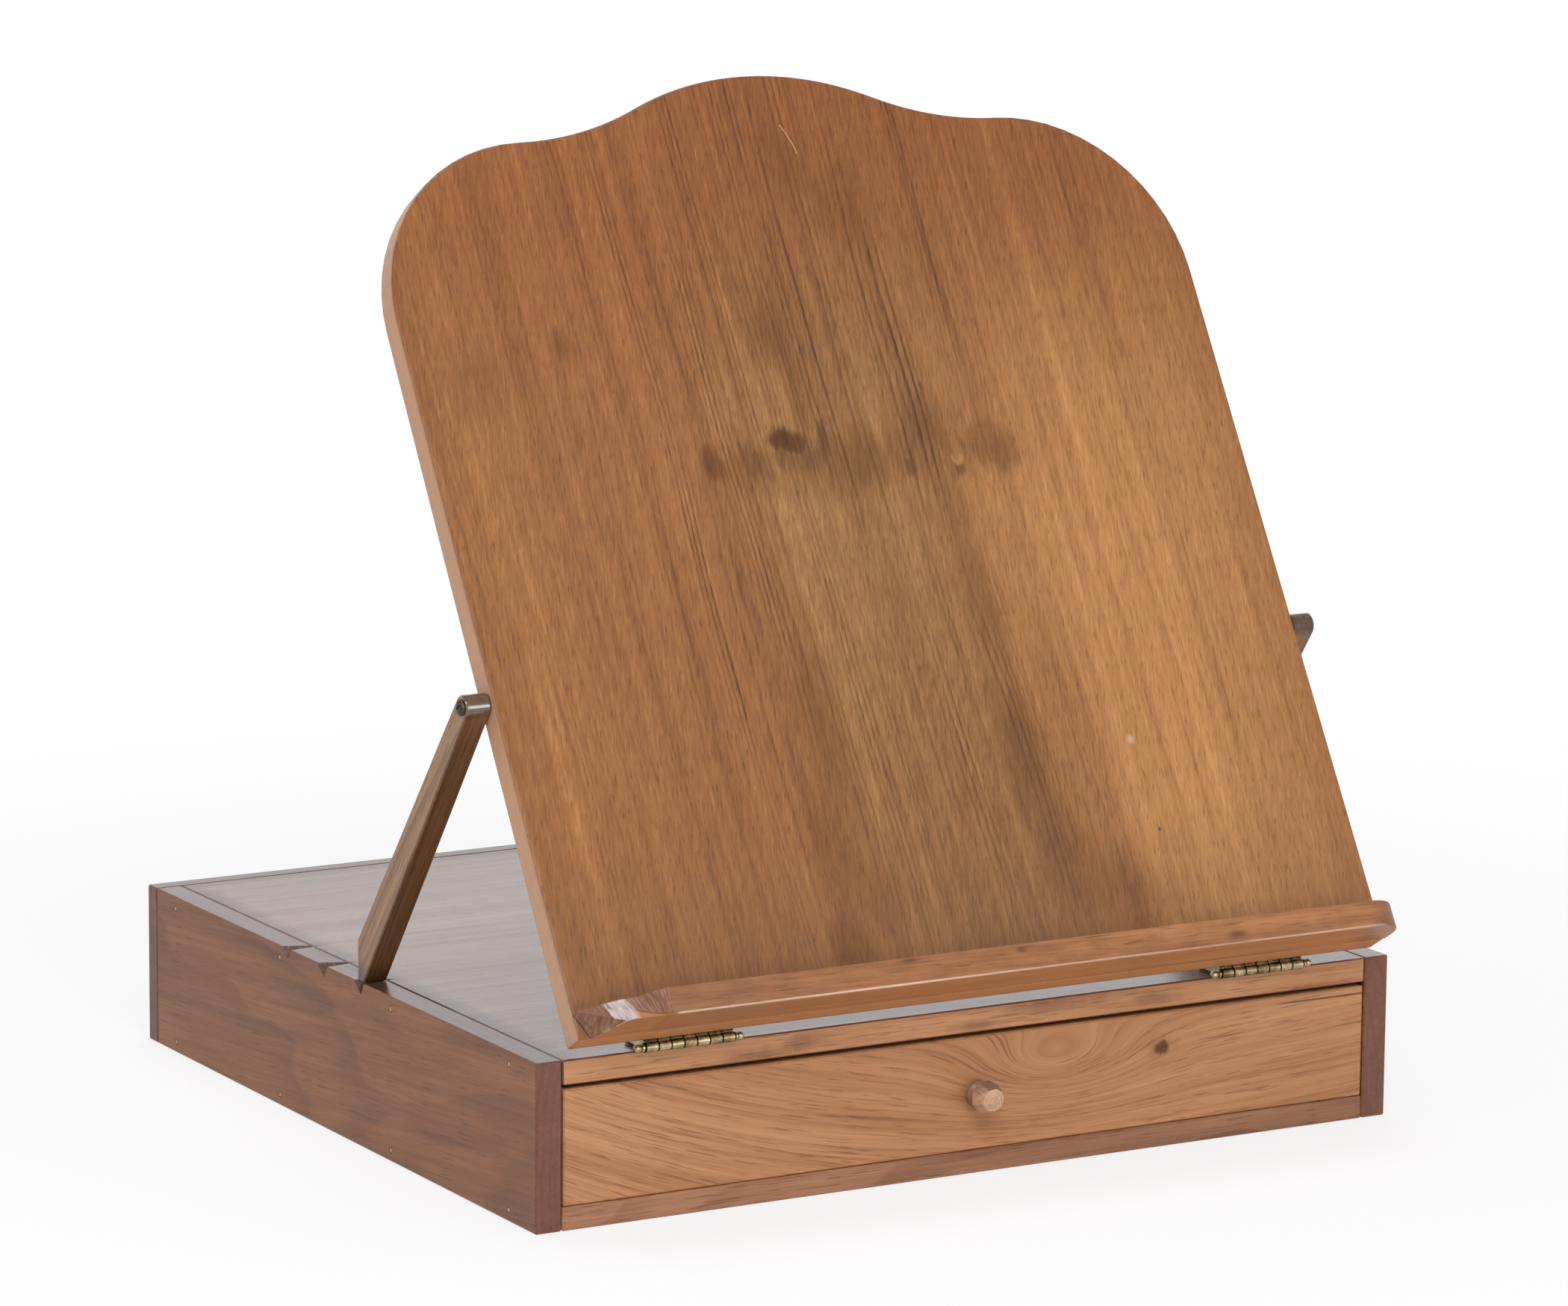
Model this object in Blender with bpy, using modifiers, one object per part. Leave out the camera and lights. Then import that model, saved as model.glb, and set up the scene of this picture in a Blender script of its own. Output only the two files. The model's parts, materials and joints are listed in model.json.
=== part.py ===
"""Travel lectern: a book board on two butt hinges, propped by two struts,
over a shallow case with one drawer.

Metres, +Z up. The origin is the middle of the case's underside, and the reader sits at -Y.
"""
import math

import bmesh
import bpy
from mathutils import Matrix, Vector

# Fits
SEAT_GAP = 0.0003
MERGE = 0.00001
ARRIS = 0.0006
CUT_MARGIN = 0.002

# Fineness of round shapes
ARC_STEPS = 14
SMALL_ARC_STEPS = 8
BALL_STEPS = 4
NAIL_SIDES = 8
SCREW_SIDES = 12
PIN_SIDES = 16
BARREL_SIDES = 20
KNOB_SIDES = 28
FLAT_ANGLE = 0.01
EASED_ANGLE = math.radians(50)
SMOOTH_ANGLE = math.radians(35)
AXIS_MARK = 0.02

# Case
CASE_WIDTH = 0.420
CASE_DEPTH = 0.378
CASE_HEIGHT = 0.072
SIDE_THICKNESS = 0.012
TOP_THICKNESS = 0.0108
BOTTOM_THICKNESS = 0.010
BACK_THICKNESS = 0.0092

# Nails of the case
NAIL_RADIUS = 0.0011
NAIL_LENGTH = 0.026
NAIL_FRONT_INSET = 0.024
NAIL_BACK_INSET = 0.020
NAILS_PER_EDGE = 4
BACK_NAIL_INSET = 0.018
BACK_NAILS_PER_SIDE = 2

# Notches filed at a slant into the top edges of the sides
NOTCH_COUNT = 3
NOTCH_FIRST = 0.1575
NOTCH_PITCH = 0.0357
NOTCH_DEPTH = 0.0052
NOTCH_FRONT_RUN = 0.0026
NOTCH_BACK_RUN = 0.0074
NOTCH_REACH = 0.017

# Book board
BOARD_THICKNESS = 0.012
BOARD_TILT = math.radians(59.15)
BOARD_FOOT = 0.0024
SHOULDER_HEIGHT = 0.3976
SHOULDER_RADIUS = 0.079
CREST_RISE = 0.0258
BOARD_ARRIS = 0.0012

# Ledge across the foot of the board, its left end swept back at the top and its right end plain round
LEDGE_THICKNESS = 0.0115
LEDGE_DEPTH = 0.023
LEDGE_ROUND_RADIUS = 0.018
LEDGE_SWEEP_INSET = 0.036
LEDGE_SWEEP_SETBACK = 0.0092
LEDGE_NOSE_INSET = 0.0170
LEDGE_NOSE_FOOT_RADIUS = 0.0045
LEDGE_NOSE_TOP_RADIUS = 0.0030
LEDGE_END_RISE = 0.0044
LEDGE_FOOT_INSET = 0.0053

# Hinges
HINGE_INSET = 0.069
HINGE_LENGTH = 0.042
LEAF_WIDTH = 0.017
LEAF_THICKNESS = 0.0012
LEAF_CLEARANCE = 0.0005
BARREL_RADIUS = 0.0022
BARREL_STANDOFF = 0.0012
PIN_RADIUS = 0.0011
KNUCKLE_COUNT = 7
KNUCKLE_GAP_PAST = 0.00045
FINIAL_COLLAR_LENGTH = 0.0012
FINIAL_COLLAR_ARRIS = 0.0003
FINIAL_BALL_RADIUS = 0.0019
FINIAL_BALL_LIFT = 0.0015
FINIAL_NECK_ANGLE = -30
LEAF_SCREWS = 3
LEAF_SCREW_RADIUS = 0.0013
LEAF_SCREW_HEAD_RADIUS = 0.0024
LEAF_SCREW_LENGTH = 0.009
LEAF_SCREW_POINT = 0.0022
LEAF_SCREW_INSET = 0.007
LEAF_SCREW_STAGGER = 0.0023

# Struts
STRUT_SIDE_GAP = 0.0005
STRUT_FACE_INSET = 0.0003
STRUT_HALF_WIDTH = 0.0052
PIVOT_ALONG_BOARD = 0.1509
FOOT_SETBACK = 0.001
FOOT_FLAT = 0.0055
FOOT_CUT_HEIGHT = 0.018
STRUT_SCREW_RADIUS = 0.002
STRUT_SCREW_BITE = 0.014
STRUT_SCREW_POINT = 0.0038
STRUT_SCREW_HEAD_RADIUS = 0.0036
STRUT_SCREW_HEAD_HEIGHT = 0.0016
SCREW_SLOT_WIDTH = 0.0008
SCREW_SLOT_DEPTH = 0.0007

# Drawer
DRAWER_SIDE_CLEARANCE = 0.0008
DRAWER_TOP_CLEARANCE = 0.0016
DRAWER_FRONT_THICKNESS = 0.012
DRAWER_WALL = 0.008
DRAWER_BOTTOM_THICKNESS = 0.004
DRAWER_BOTTOM_RISE = 0.005
DRAWER_WALL_DROP = 0.004
GROOVE_DEPTH = 0.004
FRONT_REBATE = 0.007

# Drawer knob, from the drawer front outwards
KNOB_TENON_RADIUS = 0.0035
KNOB_FOOT_RADIUS = 0.0058
KNOB_FOOT_LENGTH = 0.0037
KNOB_NECK_RADIUS = 0.0046
KNOB_NECK_LENGTH = 0.0026
KNOB_FLARE_LENGTH = 0.0042
KNOB_RADIUS = 0.008
KNOB_RIM_LENGTH = 0.0025
KNOB_HEAD_LENGTH = 0.0085
KNOB_FACE_RADIUS = 0.0066

# Places that follow from the sizes
CASE_FRONT = -CASE_DEPTH / 2
CASE_BACK = CASE_DEPTH / 2
CASE_HALF = CASE_WIDTH / 2
CASE_INNER_HALF = CASE_HALF - SIDE_THICKNESS
PANEL_BACK = CASE_BACK - BACK_THICKNESS - SEAT_GAP
BAY_LOW = BOTTOM_THICKNESS
BAY_HIGH = CASE_HEIGHT - TOP_THICKNESS
PIN_HEIGHT = SEAT_GAP + LEAF_THICKNESS + LEAF_CLEARANCE
PIN_Y = CASE_FRONT - BARREL_RADIUS - BARREL_STANDOFF
PIN_Z = CASE_HEIGHT + PIN_HEIGHT
BOARD_HALF = CASE_INNER_HALF
BOARD_FACE = PIN_HEIGHT + BOARD_THICKNESS
PIVOT_HEIGHT = PIN_HEIGHT + BOARD_THICKNESS / 2
STRUT_THICKNESS = SIDE_THICKNESS - STRUT_SIDE_GAP - STRUT_FACE_INSET
STRUT_X = BOARD_HALF + STRUT_SIDE_GAP + STRUT_THICKNESS / 2
DRAWER_LOW = BAY_LOW + SEAT_GAP
DRAWER_HIGH = BAY_HIGH - DRAWER_TOP_CLEARANCE
DRAWER_HALF = CASE_INNER_HALF - DRAWER_SIDE_CLEARANCE
DRAWER_WALL_HIGH = DRAWER_HIGH - DRAWER_WALL_DROP
SIDES = {"left": -1, "right": 1}

# Turns a flat outline so that it stands in the YZ plane and is extruded along X
STAND_IN_YZ = Matrix(((0, 0, 1, 0), (1, 0, 0, 0), (0, 1, 0, 0), (0, 0, 0, 1)))
# Turns a shape that runs along Z so that it runs along X
ALONG_X = Matrix.Rotation(math.pi / 2, 4, "Y")
# Turns a shape that rises along Z so that it comes forward along -Y
TOWARDS_READER = Matrix.Rotation(math.pi / 2, 4, "X")


def clear_scene():
    for item in list(bpy.data.objects):
        bpy.data.objects.remove(item, do_unlink=True)


def new_collection(name):
    collection = bpy.data.collections.new(name)
    bpy.context.scene.collection.children.link(collection)
    return collection


def new_material(name, colour, roughness, metallic=0.0):
    material = bpy.data.materials.new(name)
    material.use_nodes = True
    shader = material.node_tree.nodes["Principled BSDF"]
    shader.inputs["Base Color"].default_value = (*colour, 1.0)
    shader.inputs["Roughness"].default_value = roughness
    shader.inputs["Metallic"].default_value = metallic
    return material


clear_scene()
PARTS = new_collection("travel_lectern")
CUTTERS = new_collection("cutters")
CASE_WOOD = new_material("case_wood", (0.24, 0.12, 0.065), 0.35)
PANEL_WOOD = new_material("panel_wood", (0.40, 0.20, 0.10), 0.35)
BOARD_WOOD = new_material("board_wood", (0.38, 0.18, 0.075), 0.35)
DRAWER_WOOD = new_material("drawer_wood", (0.46, 0.24, 0.13), 0.40)
STRUT_WOOD = new_material("strut_wood", (0.09, 0.045, 0.03), 0.40)
BRASS = new_material("aged_brass", (0.50, 0.38, 0.16), 0.35, 1.0)
STEEL = new_material("dull_steel", (0.30, 0.28, 0.26), 0.45, 1.0)


# Shared shape makers


def as_object(name, shape, collection=PARTS):
    """Closes a bmesh into a new object."""
    mesh = bpy.data.meshes.new(name)
    bmesh.ops.recalc_face_normals(shape, faces=shape.faces)
    shape.to_mesh(mesh)
    shape.free()
    item = bpy.data.objects.new(name, mesh)
    collection.objects.link(item)
    return item


def block_shape(low, high):
    """A bmesh cuboid between two opposite corners, given in any order."""
    shape = bmesh.new()
    bmesh.ops.create_cube(shape, size=1.0)
    size = [abs(b - a) for a, b in zip(low, high)]
    middle = [(a + b) / 2 for a, b in zip(low, high)]
    bmesh.ops.scale(shape, vec=size, verts=shape.verts)
    bmesh.ops.translate(shape, vec=middle, verts=shape.verts)
    return shape


def block(name, low, high, material):
    """A sawn piece with its arrises eased."""
    item = as_object(name, block_shape(low, high))
    ease(item, ARRIS)
    item.data.materials.append(material)
    return item


def ease(item, width, segments=1):
    """Takes the sharpness off the square edges."""
    bevel = item.modifiers.new("arris", "BEVEL")
    bevel.width = width
    bevel.segments = segments
    bevel.limit_method = "ANGLE"
    bevel.angle_limit = EASED_ANGLE


def rod_shape(radius, length, sides):
    """A bmesh cylinder along Z, its middle at the origin."""
    shape = bmesh.new()
    bmesh.ops.create_cone(
        shape, cap_ends=True, segments=sides, radius1=radius, radius2=radius, depth=length
    )
    return shape


def gathered(shapes_and_places):
    """One bmesh holding a moved copy of each shape, as separate bodies."""
    whole = bmesh.new()
    for shape, place in shapes_and_places:
        mesh = bpy.data.meshes.new("copy")
        shape.to_mesh(mesh)
        mesh.transform(place)
        whole.from_mesh(mesh)
        bpy.data.meshes.remove(mesh)
    return whole


def fasteners(name, shape, places, material, parent=None):
    """One object for each place, numbered from one, all sharing the shape's mesh."""
    mesh = None
    for number, place in enumerate(places, 1):
        item_name = f"{name}_{number:02d}"
        if mesh is None:
            item = as_object(item_name, shape)
            mesh = item.data
            mesh.materials.append(material)
            smooth(item)
        else:
            item = bpy.data.objects.new(item_name, mesh)
            PARTS.objects.link(item)
        item.matrix_basis = place
        item.parent = parent


def prism_shape(outline, depth, turn=None):
    """A bmesh from a flat outline, drawn as a filled curve and extruded to both sides of its plane."""
    curve = bpy.data.curves.new("outline", "CURVE")
    curve.dimensions = "2D"
    curve.fill_mode = "BOTH"
    curve.extrude = depth / 2
    spline = curve.splines.new("POLY")
    spline.points.add(len(outline) - 1)
    for point, (across, along) in zip(spline.points, outline):
        point.co = (across, along, 0.0, 1.0)
    spline.use_cyclic_u = True
    drawn = bpy.data.objects.new("outline", curve)
    shape = evaluated_shape(drawn)
    bmesh.ops.dissolve_limit(shape, angle_limit=FLAT_ANGLE, verts=shape.verts, edges=shape.edges)
    if turn:
        bmesh.ops.transform(shape, matrix=turn, verts=shape.verts)
    return shape


def lofted_shape(foot, top, height):
    """A bmesh ruled between two outlines of (across, out) with as many points each, one above the other."""
    shape = bmesh.new()
    low = [shape.verts.new((across, 0.0, out)) for across, out in foot]
    high = [shape.verts.new((across, height, out)) for across, out in top]
    shape.faces.new(low)
    shape.faces.new(high)
    for i in range(len(low)):
        shape.faces.new((low[i - 1], low[i], high[i], high[i - 1]))
    return shape


def turned_shape(profile, sides):
    """A bmesh turned about Z from a half profile of (radius, height), listed down its outer side."""
    mesh = bpy.data.meshes.new("profile")
    points = [(radius, 0.0, height) for radius, height in profile]
    mesh.from_pydata(points, [(i, i + 1) for i in range(len(points) - 1)], [])
    lathe = bpy.data.objects.new("profile", mesh)
    screw = lathe.modifiers.new("turn", "SCREW")
    screw.steps = sides
    screw.render_steps = sides
    screw.use_merge_vertices = True
    screw.merge_threshold = MERGE
    return evaluated_shape(lathe)


def evaluated_shape(item):
    """A welded bmesh of an object that is not yet in the scene, which is then removed."""
    bpy.context.scene.collection.objects.link(item)
    seen = item.evaluated_get(bpy.context.evaluated_depsgraph_get())
    mesh = bpy.data.meshes.new_from_object(seen)
    bpy.data.objects.remove(item, do_unlink=True)
    shape = bmesh.new()
    shape.from_mesh(mesh)
    bpy.data.meshes.remove(mesh)
    bmesh.ops.remove_doubles(shape, verts=shape.verts, dist=MERGE)
    return shape


def arc(centre, radius, start, end, steps=ARC_STEPS):
    """Points along an arc, both ends included, with its angles in degrees."""
    points = []
    for i in range(steps + 1):
        angle = math.radians(start + (end - start) * i / steps)
        points.append((centre[0] + radius * math.cos(angle), centre[1] + radius * math.sin(angle)))
    return points


def ogee(start, end, steps=ARC_STEPS):
    """Two equal arcs that leave one point level, cross over half way and reach another level.

    It climbs from the first point to the second as it goes towards -X."""
    run = start[0] - end[0]
    rise = end[1] - start[1]
    radius = (run * run + rise * rise) / (4 * rise)
    sweep = math.degrees(math.asin(run / 2 / radius))
    hollow = arc((start[0], start[1] + radius), radius, -90, -90 - sweep, steps)
    round_part = arc((end[0], end[1] - radius), radius, 90 - sweep, 90, steps)
    return hollow + round_part[1:]


def mirrored(points):
    """The same line on the other side of the middle, run the other way."""
    return [(-x, y) for x, y in reversed(points)]


def cut(item, cutter, operation="DIFFERENCE"):
    modifier = item.modifiers.new("cut_" + cutter.name, "BOOLEAN")
    modifier.operation = operation
    modifier.solver = "EXACT"
    modifier.object = cutter


def cutter_from(name, shape):
    item = as_object(name, shape, CUTTERS)
    item.hide_render = True
    item.display_type = "WIRE"
    return item


def smooth(item):
    item.data.shade_smooth()
    item.data.set_sharp_from_angle(angle=SMOOTH_ANGLE)


def carry(parent, *items):
    for item in items:
        item.parent = parent


def new_empty(name, place, tilt=0.0, parent=None):
    """An axis that moving pieces are parented to, turned about X."""
    empty = bpy.data.objects.new(name, None)
    empty.location = place
    empty.rotation_euler = (tilt, 0.0, 0.0)
    empty.parent = parent
    empty.empty_display_size = AXIS_MARK
    PARTS.objects.link(empty)
    return empty


def spread(low, high, count):
    """Evenly spaced places from low to high, both included."""
    return [low + (high - low) * i / (count - 1) for i in range(count)]


# Case


def case_nail_places():
    """Where each nail's middle lies, and how it is turned from Z."""
    places = []
    depths = spread(CASE_FRONT + NAIL_FRONT_INSET, PANEL_BACK - NAIL_BACK_INSET, NAILS_PER_EDGE)
    panel_heights = (BOTTOM_THICKNESS / 2, CASE_HEIGHT - TOP_THICKNESS / 2)
    back_heights = spread(BACK_NAIL_INSET, CASE_HEIGHT - BACK_NAIL_INSET, BACK_NAILS_PER_SIDE)
    for sign in SIDES.values():
        into_panel = sign * (CASE_HALF - NAIL_LENGTH / 2)
        into_side = sign * (CASE_HALF - SIDE_THICKNESS / 2)
        for y in depths:
            for z in panel_heights:
                places.append(Matrix.Translation((into_panel, y, z)) @ ALONG_X)
        for z in back_heights:
            place = Matrix.Translation((into_side, CASE_BACK - NAIL_LENGTH / 2, z))
            places.append(place @ TOWARDS_READER)
    return places


def make_case():
    panel_half = CASE_INNER_HALF - SEAT_GAP
    sides = []
    for word, sign in SIDES.items():
        low = (sign * CASE_INNER_HALF, CASE_FRONT, 0.0)
        high = (sign * CASE_HALF, PANEL_BACK, CASE_HEIGHT)
        sides.append(block(word + "_side", low, high, CASE_WOOD))
    top_low = (-panel_half, CASE_FRONT, BAY_HIGH)
    top = block("top_panel", top_low, (panel_half, PANEL_BACK, CASE_HEIGHT), PANEL_WOOD)
    bottom_low = (-panel_half, CASE_FRONT, 0.0)
    bottom = block("bottom_panel", bottom_low, (panel_half, PANEL_BACK, BAY_LOW), PANEL_WOOD)
    back_low = (-CASE_HALF, CASE_BACK - BACK_THICKNESS, 0.0)
    back = block("back_panel", back_low, (CASE_HALF, CASE_BACK, CASE_HEIGHT), CASE_WOOD)

    notches = notch_cutter()
    for piece in (*sides, top):
        cut(piece, notches)

    places = case_nail_places()
    fasteners("case_nail", rod_shape(NAIL_RADIUS, NAIL_LENGTH, NAIL_SIDES), places, STEEL)
    hole = rod_shape(NAIL_RADIUS + SEAT_GAP, NAIL_LENGTH + 2 * SEAT_GAP, NAIL_SIDES)
    holes = cutter_from("case_nail_holes", gathered([(hole, place) for place in places]))
    for piece in (*sides, top, bottom, back):
        cut(piece, holes)
    return top


def notch_cutter():
    """V cuts with a steep front wall and a ramp behind, deepest at the outer face of each side.

    Each is slanted, so that it grows shallower inwards and fades out in the top."""
    slant = math.atan2(NOTCH_DEPTH, NOTCH_REACH)
    lift = 1 + CUT_MARGIN / NOTCH_DEPTH
    outline = [
        (0.0, 0.0),
        (NOTCH_BACK_RUN * lift, NOTCH_DEPTH * lift),
        (-NOTCH_FRONT_RUN * lift, NOTCH_DEPTH * lift),
    ]
    wedge = prism_shape(outline, 2 * (NOTCH_REACH + CUT_MARGIN), STAND_IN_YZ)
    wedges = []
    for sign in SIDES.values():
        for i in range(NOTCH_COUNT):
            bottom = CASE_FRONT + NOTCH_FIRST + i * NOTCH_PITCH + NOTCH_FRONT_RUN
            place = Matrix.Translation((sign * CASE_HALF, bottom, CASE_HEIGHT - NOTCH_DEPTH))
            wedges.append((wedge, place @ Matrix.Rotation(sign * slant, 4, "Y")))
    return cutter_from("notches", gathered(wedges))


# Hinges


def leaf_screw_profile(grow):
    """A countersunk screw down from its flat head, made larger all round for its hole."""
    head = LEAF_SCREW_HEAD_RADIUS + grow
    shank = LEAF_SCREW_RADIUS + grow
    return [
        (0.0, grow),
        (head, grow),
        (head, 0.0),
        (shank, -LEAF_THICKNESS),
        (shank, LEAF_SCREW_POINT - LEAF_SCREW_LENGTH),
        (0.0, -LEAF_SCREW_LENGTH - grow),
    ]


def knuckle_spans():
    """The two ends of each knuckle along the pin, measured from the hinge's middle."""
    pitch = HINGE_LENGTH / KNUCKLE_COUNT
    starts = [i * pitch - HINGE_LENGTH / 2 for i in range(KNUCKLE_COUNT)]
    return [(start + SEAT_GAP / 2, start + pitch - SEAT_GAP / 2) for start in starts]


def tube_along_x(radius, low, high, sides=BARREL_SIDES):
    place = Matrix.Translation(((low + high) / 2, 0, 0)) @ ALONG_X
    return rod_shape(radius, high - low, sides), place


def hinge_leaf(name, own, under, middle):
    """A leaf rolled into every second knuckle round the pin, which runs along X through the origin.

    own is 0 or 1, the first knuckle that belongs to this leaf. under is -1 for the leaf below the pin."""
    spans = knuckle_spans()
    plate_half = HINGE_LENGTH / 2 - SEAT_GAP
    inner = under * LEAF_CLEARANCE
    outer = under * (LEAF_CLEARANCE + LEAF_THICKNESS)
    leaf = as_object(name, block_shape((-plate_half, 0.0, inner), (plate_half, LEAF_WIDTH, outer)))
    leaf.location.x = middle
    mine = [tube_along_x(BARREL_RADIUS, *span) for span in spans[own::2]]
    others = []
    for low, high in spans[1 - own::2]:
        room = (low - KNUCKLE_GAP_PAST, high + KNUCKLE_GAP_PAST)
        others.append(tube_along_x(BARREL_RADIUS + SEAT_GAP, *room))
    bore = [tube_along_x(PIN_RADIUS + SEAT_GAP, -HINGE_LENGTH, HINGE_LENGTH, PIN_SIDES)]
    tools = (
        (cutter_from(name + "_gaps", gathered(others)), "DIFFERENCE"),
        (cutter_from(name + "_knuckles", gathered(mine)), "UNION"),
        (cutter_from(name + "_bore", gathered(bore)), "DIFFERENCE"),
    )
    for tool, operation in tools:
        tool.location.x = middle
        cut(leaf, tool, operation)
    leaf.data.materials.append(BRASS)
    return leaf, [tool for tool, _ in tools]


def leaf_screw_places(under, middle):
    """Heads flush with the leaf's inner face, pointing into the wood."""
    edge = HINGE_LENGTH / 2 - LEAF_SCREW_INSET
    y = LEAF_WIDTH - LEAF_SCREW_INSET
    flip = Matrix.Identity(4) if under < 0 else Matrix.Rotation(math.pi, 4, "X")
    places = []
    for i, x in enumerate(spread(-edge, edge, LEAF_SCREWS)):
        stagger = LEAF_SCREW_STAGGER if i % 2 else 0.0
        head = (middle + x, y + stagger, under * LEAF_CLEARANCE)
        places.append(Matrix.Translation(head) @ flip)
    return places


def pin_profile():
    """A hinge pin with a collar and a ball at each end, down its outer side."""
    end = HINGE_LENGTH / 2 + SEAT_GAP
    collar = end + FINIAL_COLLAR_LENGTH
    ball = (0.0, collar + FINIAL_BALL_LIFT)
    upper = arc(ball, FINIAL_BALL_RADIUS, 90, FINIAL_NECK_ANGLE, BALL_STEPS)
    upper += [(PIN_RADIUS, collar), (FINIAL_BALL_RADIUS, collar - FINIAL_COLLAR_ARRIS)]
    upper += [(FINIAL_BALL_RADIUS, end), (PIN_RADIUS, end)]
    lower = [(radius, -height) for radius, height in reversed(upper)]
    return upper + lower


def make_hinges(hinge_line, top, board):
    """Both hinges, with their leaves, pins and screws."""
    line = Matrix.Translation((0.0, PIN_Y, PIN_Z))
    fixed_places = []
    moving_places = []
    fixed_leaves = []
    moving_leaves = []
    for word, sign in SIDES.items():
        middle = sign * (CASE_HALF - HINGE_INSET)
        fixed, tools = hinge_leaf(word + "_hinge_case_leaf", 0, -1, middle)
        for item in (fixed, *tools):
            item.location += line.translation
        fixed_leaves.append(fixed)
        moving, tools = hinge_leaf(word + "_hinge_board_leaf", 1, 1, middle)
        carry(hinge_line, moving, *tools)
        moving_leaves.append(moving)
        fixed_places += [line @ place for place in leaf_screw_places(-1, middle)]
        moving_places += leaf_screw_places(1, middle)
        pin_shape = turned_shape(pin_profile(), PIN_SIDES)
        pin = as_object(word + "_hinge_pin", gathered([(pin_shape, ALONG_X)]))
        pin.location = line.translation + Vector((middle, 0, 0))
        pin.data.materials.append(BRASS)
        smooth(pin)

    fixed_screw = turned_shape(leaf_screw_profile(0.0), SCREW_SIDES)
    moving_screw = turned_shape(leaf_screw_profile(0.0), SCREW_SIDES)
    fasteners("case_leaf_screw", fixed_screw, fixed_places, BRASS)
    fasteners("board_leaf_screw", moving_screw, moving_places, BRASS, hinge_line)
    hole = turned_shape(leaf_screw_profile(SEAT_GAP), SCREW_SIDES)
    fixed_holes = cutter_from("case_leaf_holes", gathered([(hole, place) for place in fixed_places]))
    moving_holes = cutter_from("board_leaf_holes", gathered([(hole, place) for place in moving_places]))
    carry(hinge_line, moving_holes)
    for piece in (*fixed_leaves, top):
        cut(piece, fixed_holes)
    for piece in (*moving_leaves, board):
        cut(piece, moving_holes)
    for leaf in (*fixed_leaves, *moving_leaves):
        smooth(leaf)


# Book board, in the frame of its hinge line: +Y runs up the board and +Z comes out of its face


def board_outline():
    """Straight edges, a round shoulder each side and an ogee up to the crest."""
    shoulder = BOARD_FOOT + SHOULDER_HEIGHT
    turn = BOARD_HALF - SHOULDER_RADIUS
    right = [(BOARD_HALF, BOARD_FOOT)]
    right += arc((turn, shoulder - SHOULDER_RADIUS), SHOULDER_RADIUS, 0, 90)
    right += ogee((turn, shoulder), (0.0, shoulder + CREST_RISE))[1:]
    return right + mirrored(right)[1:]


def make_board(hinge_line):
    board = as_object("book_board", prism_shape(board_outline(), BOARD_THICKNESS))
    board.location.z = PIN_HEIGHT + BOARD_THICKNESS / 2
    ease(board, BOARD_ARRIS, 2)
    board.data.materials.append(BOARD_WOOD)
    smooth(board)
    carry(hinge_line, board)
    return board


def ledge_right_end():
    """Square to the board, then rounded over to the front."""
    centre = (BOARD_HALF - LEDGE_ROUND_RADIUS, LEDGE_DEPTH - LEDGE_ROUND_RADIUS)
    return [(BOARD_HALF, 0.0)] + arc(centre, LEDGE_ROUND_RADIUS, 0, 90)


def ledge_nose(end, height, radius):
    """A round nose that is level at its height, then a slant down to the end."""
    centre = (LEDGE_NOSE_INSET - BOARD_HALF, height - radius)
    run = centre[0] - end[0]
    rise = centre[1] - end[1]
    lean = math.atan2(rise, run) + math.asin(radius / math.hypot(run, rise))
    return arc(centre, radius, 90, 90 + math.degrees(lean), SMALL_ARC_STEPS)


def ledge_foot_end():
    """Left end along the underside: straight to the nose, then back to the board inside its edge."""
    sweep_start = LEDGE_SWEEP_INSET - BOARD_HALF
    nose_start = LEDGE_NOSE_INSET - BOARD_HALF
    end = (LEDGE_FOOT_INSET - BOARD_HALF, 0.0)
    front = [(x, LEDGE_DEPTH) for x in spread(sweep_start, nose_start, 2 * SMALL_ARC_STEPS + 1)]
    nose = ledge_nose(end, LEDGE_DEPTH, LEDGE_NOSE_FOOT_RADIUS)
    share = LEDGE_END_RISE / nose[-1][1]
    low = (end[0] + share * (nose[-1][0] - end[0]), LEDGE_END_RISE)
    return front + nose[1:] + [low, end]


def ledge_top_end():
    """Left end along the top: swept back to the nose, then slanting to the board's edge."""
    front = (BOARD_HALF - LEDGE_SWEEP_INSET, LEDGE_DEPTH)
    nose_height = LEDGE_DEPTH - LEDGE_SWEEP_SETBACK
    end = (-BOARD_HALF, LEDGE_END_RISE)
    sweep = mirrored(ogee((BOARD_HALF - LEDGE_NOSE_INSET, nose_height), front, SMALL_ARC_STEPS))
    return sweep + ledge_nose(end, nose_height, LEDGE_NOSE_TOP_RADIUS)[1:] + [end, (-BOARD_HALF, 0.0)]


def make_ledge(hinge_line):
    foot = ledge_right_end() + ledge_foot_end()
    top = ledge_right_end() + ledge_top_end()
    shape = lofted_shape(foot, top, LEDGE_THICKNESS)
    ledge = as_object("book_ledge", shape)
    ledge.location = (0.0, BOARD_FOOT, BOARD_FACE + SEAT_GAP)
    ease(ledge, ARRIS, 2)
    ledge.data.materials.append(BOARD_WOOD)
    smooth(ledge)
    carry(hinge_line, ledge)


# Struts


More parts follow.
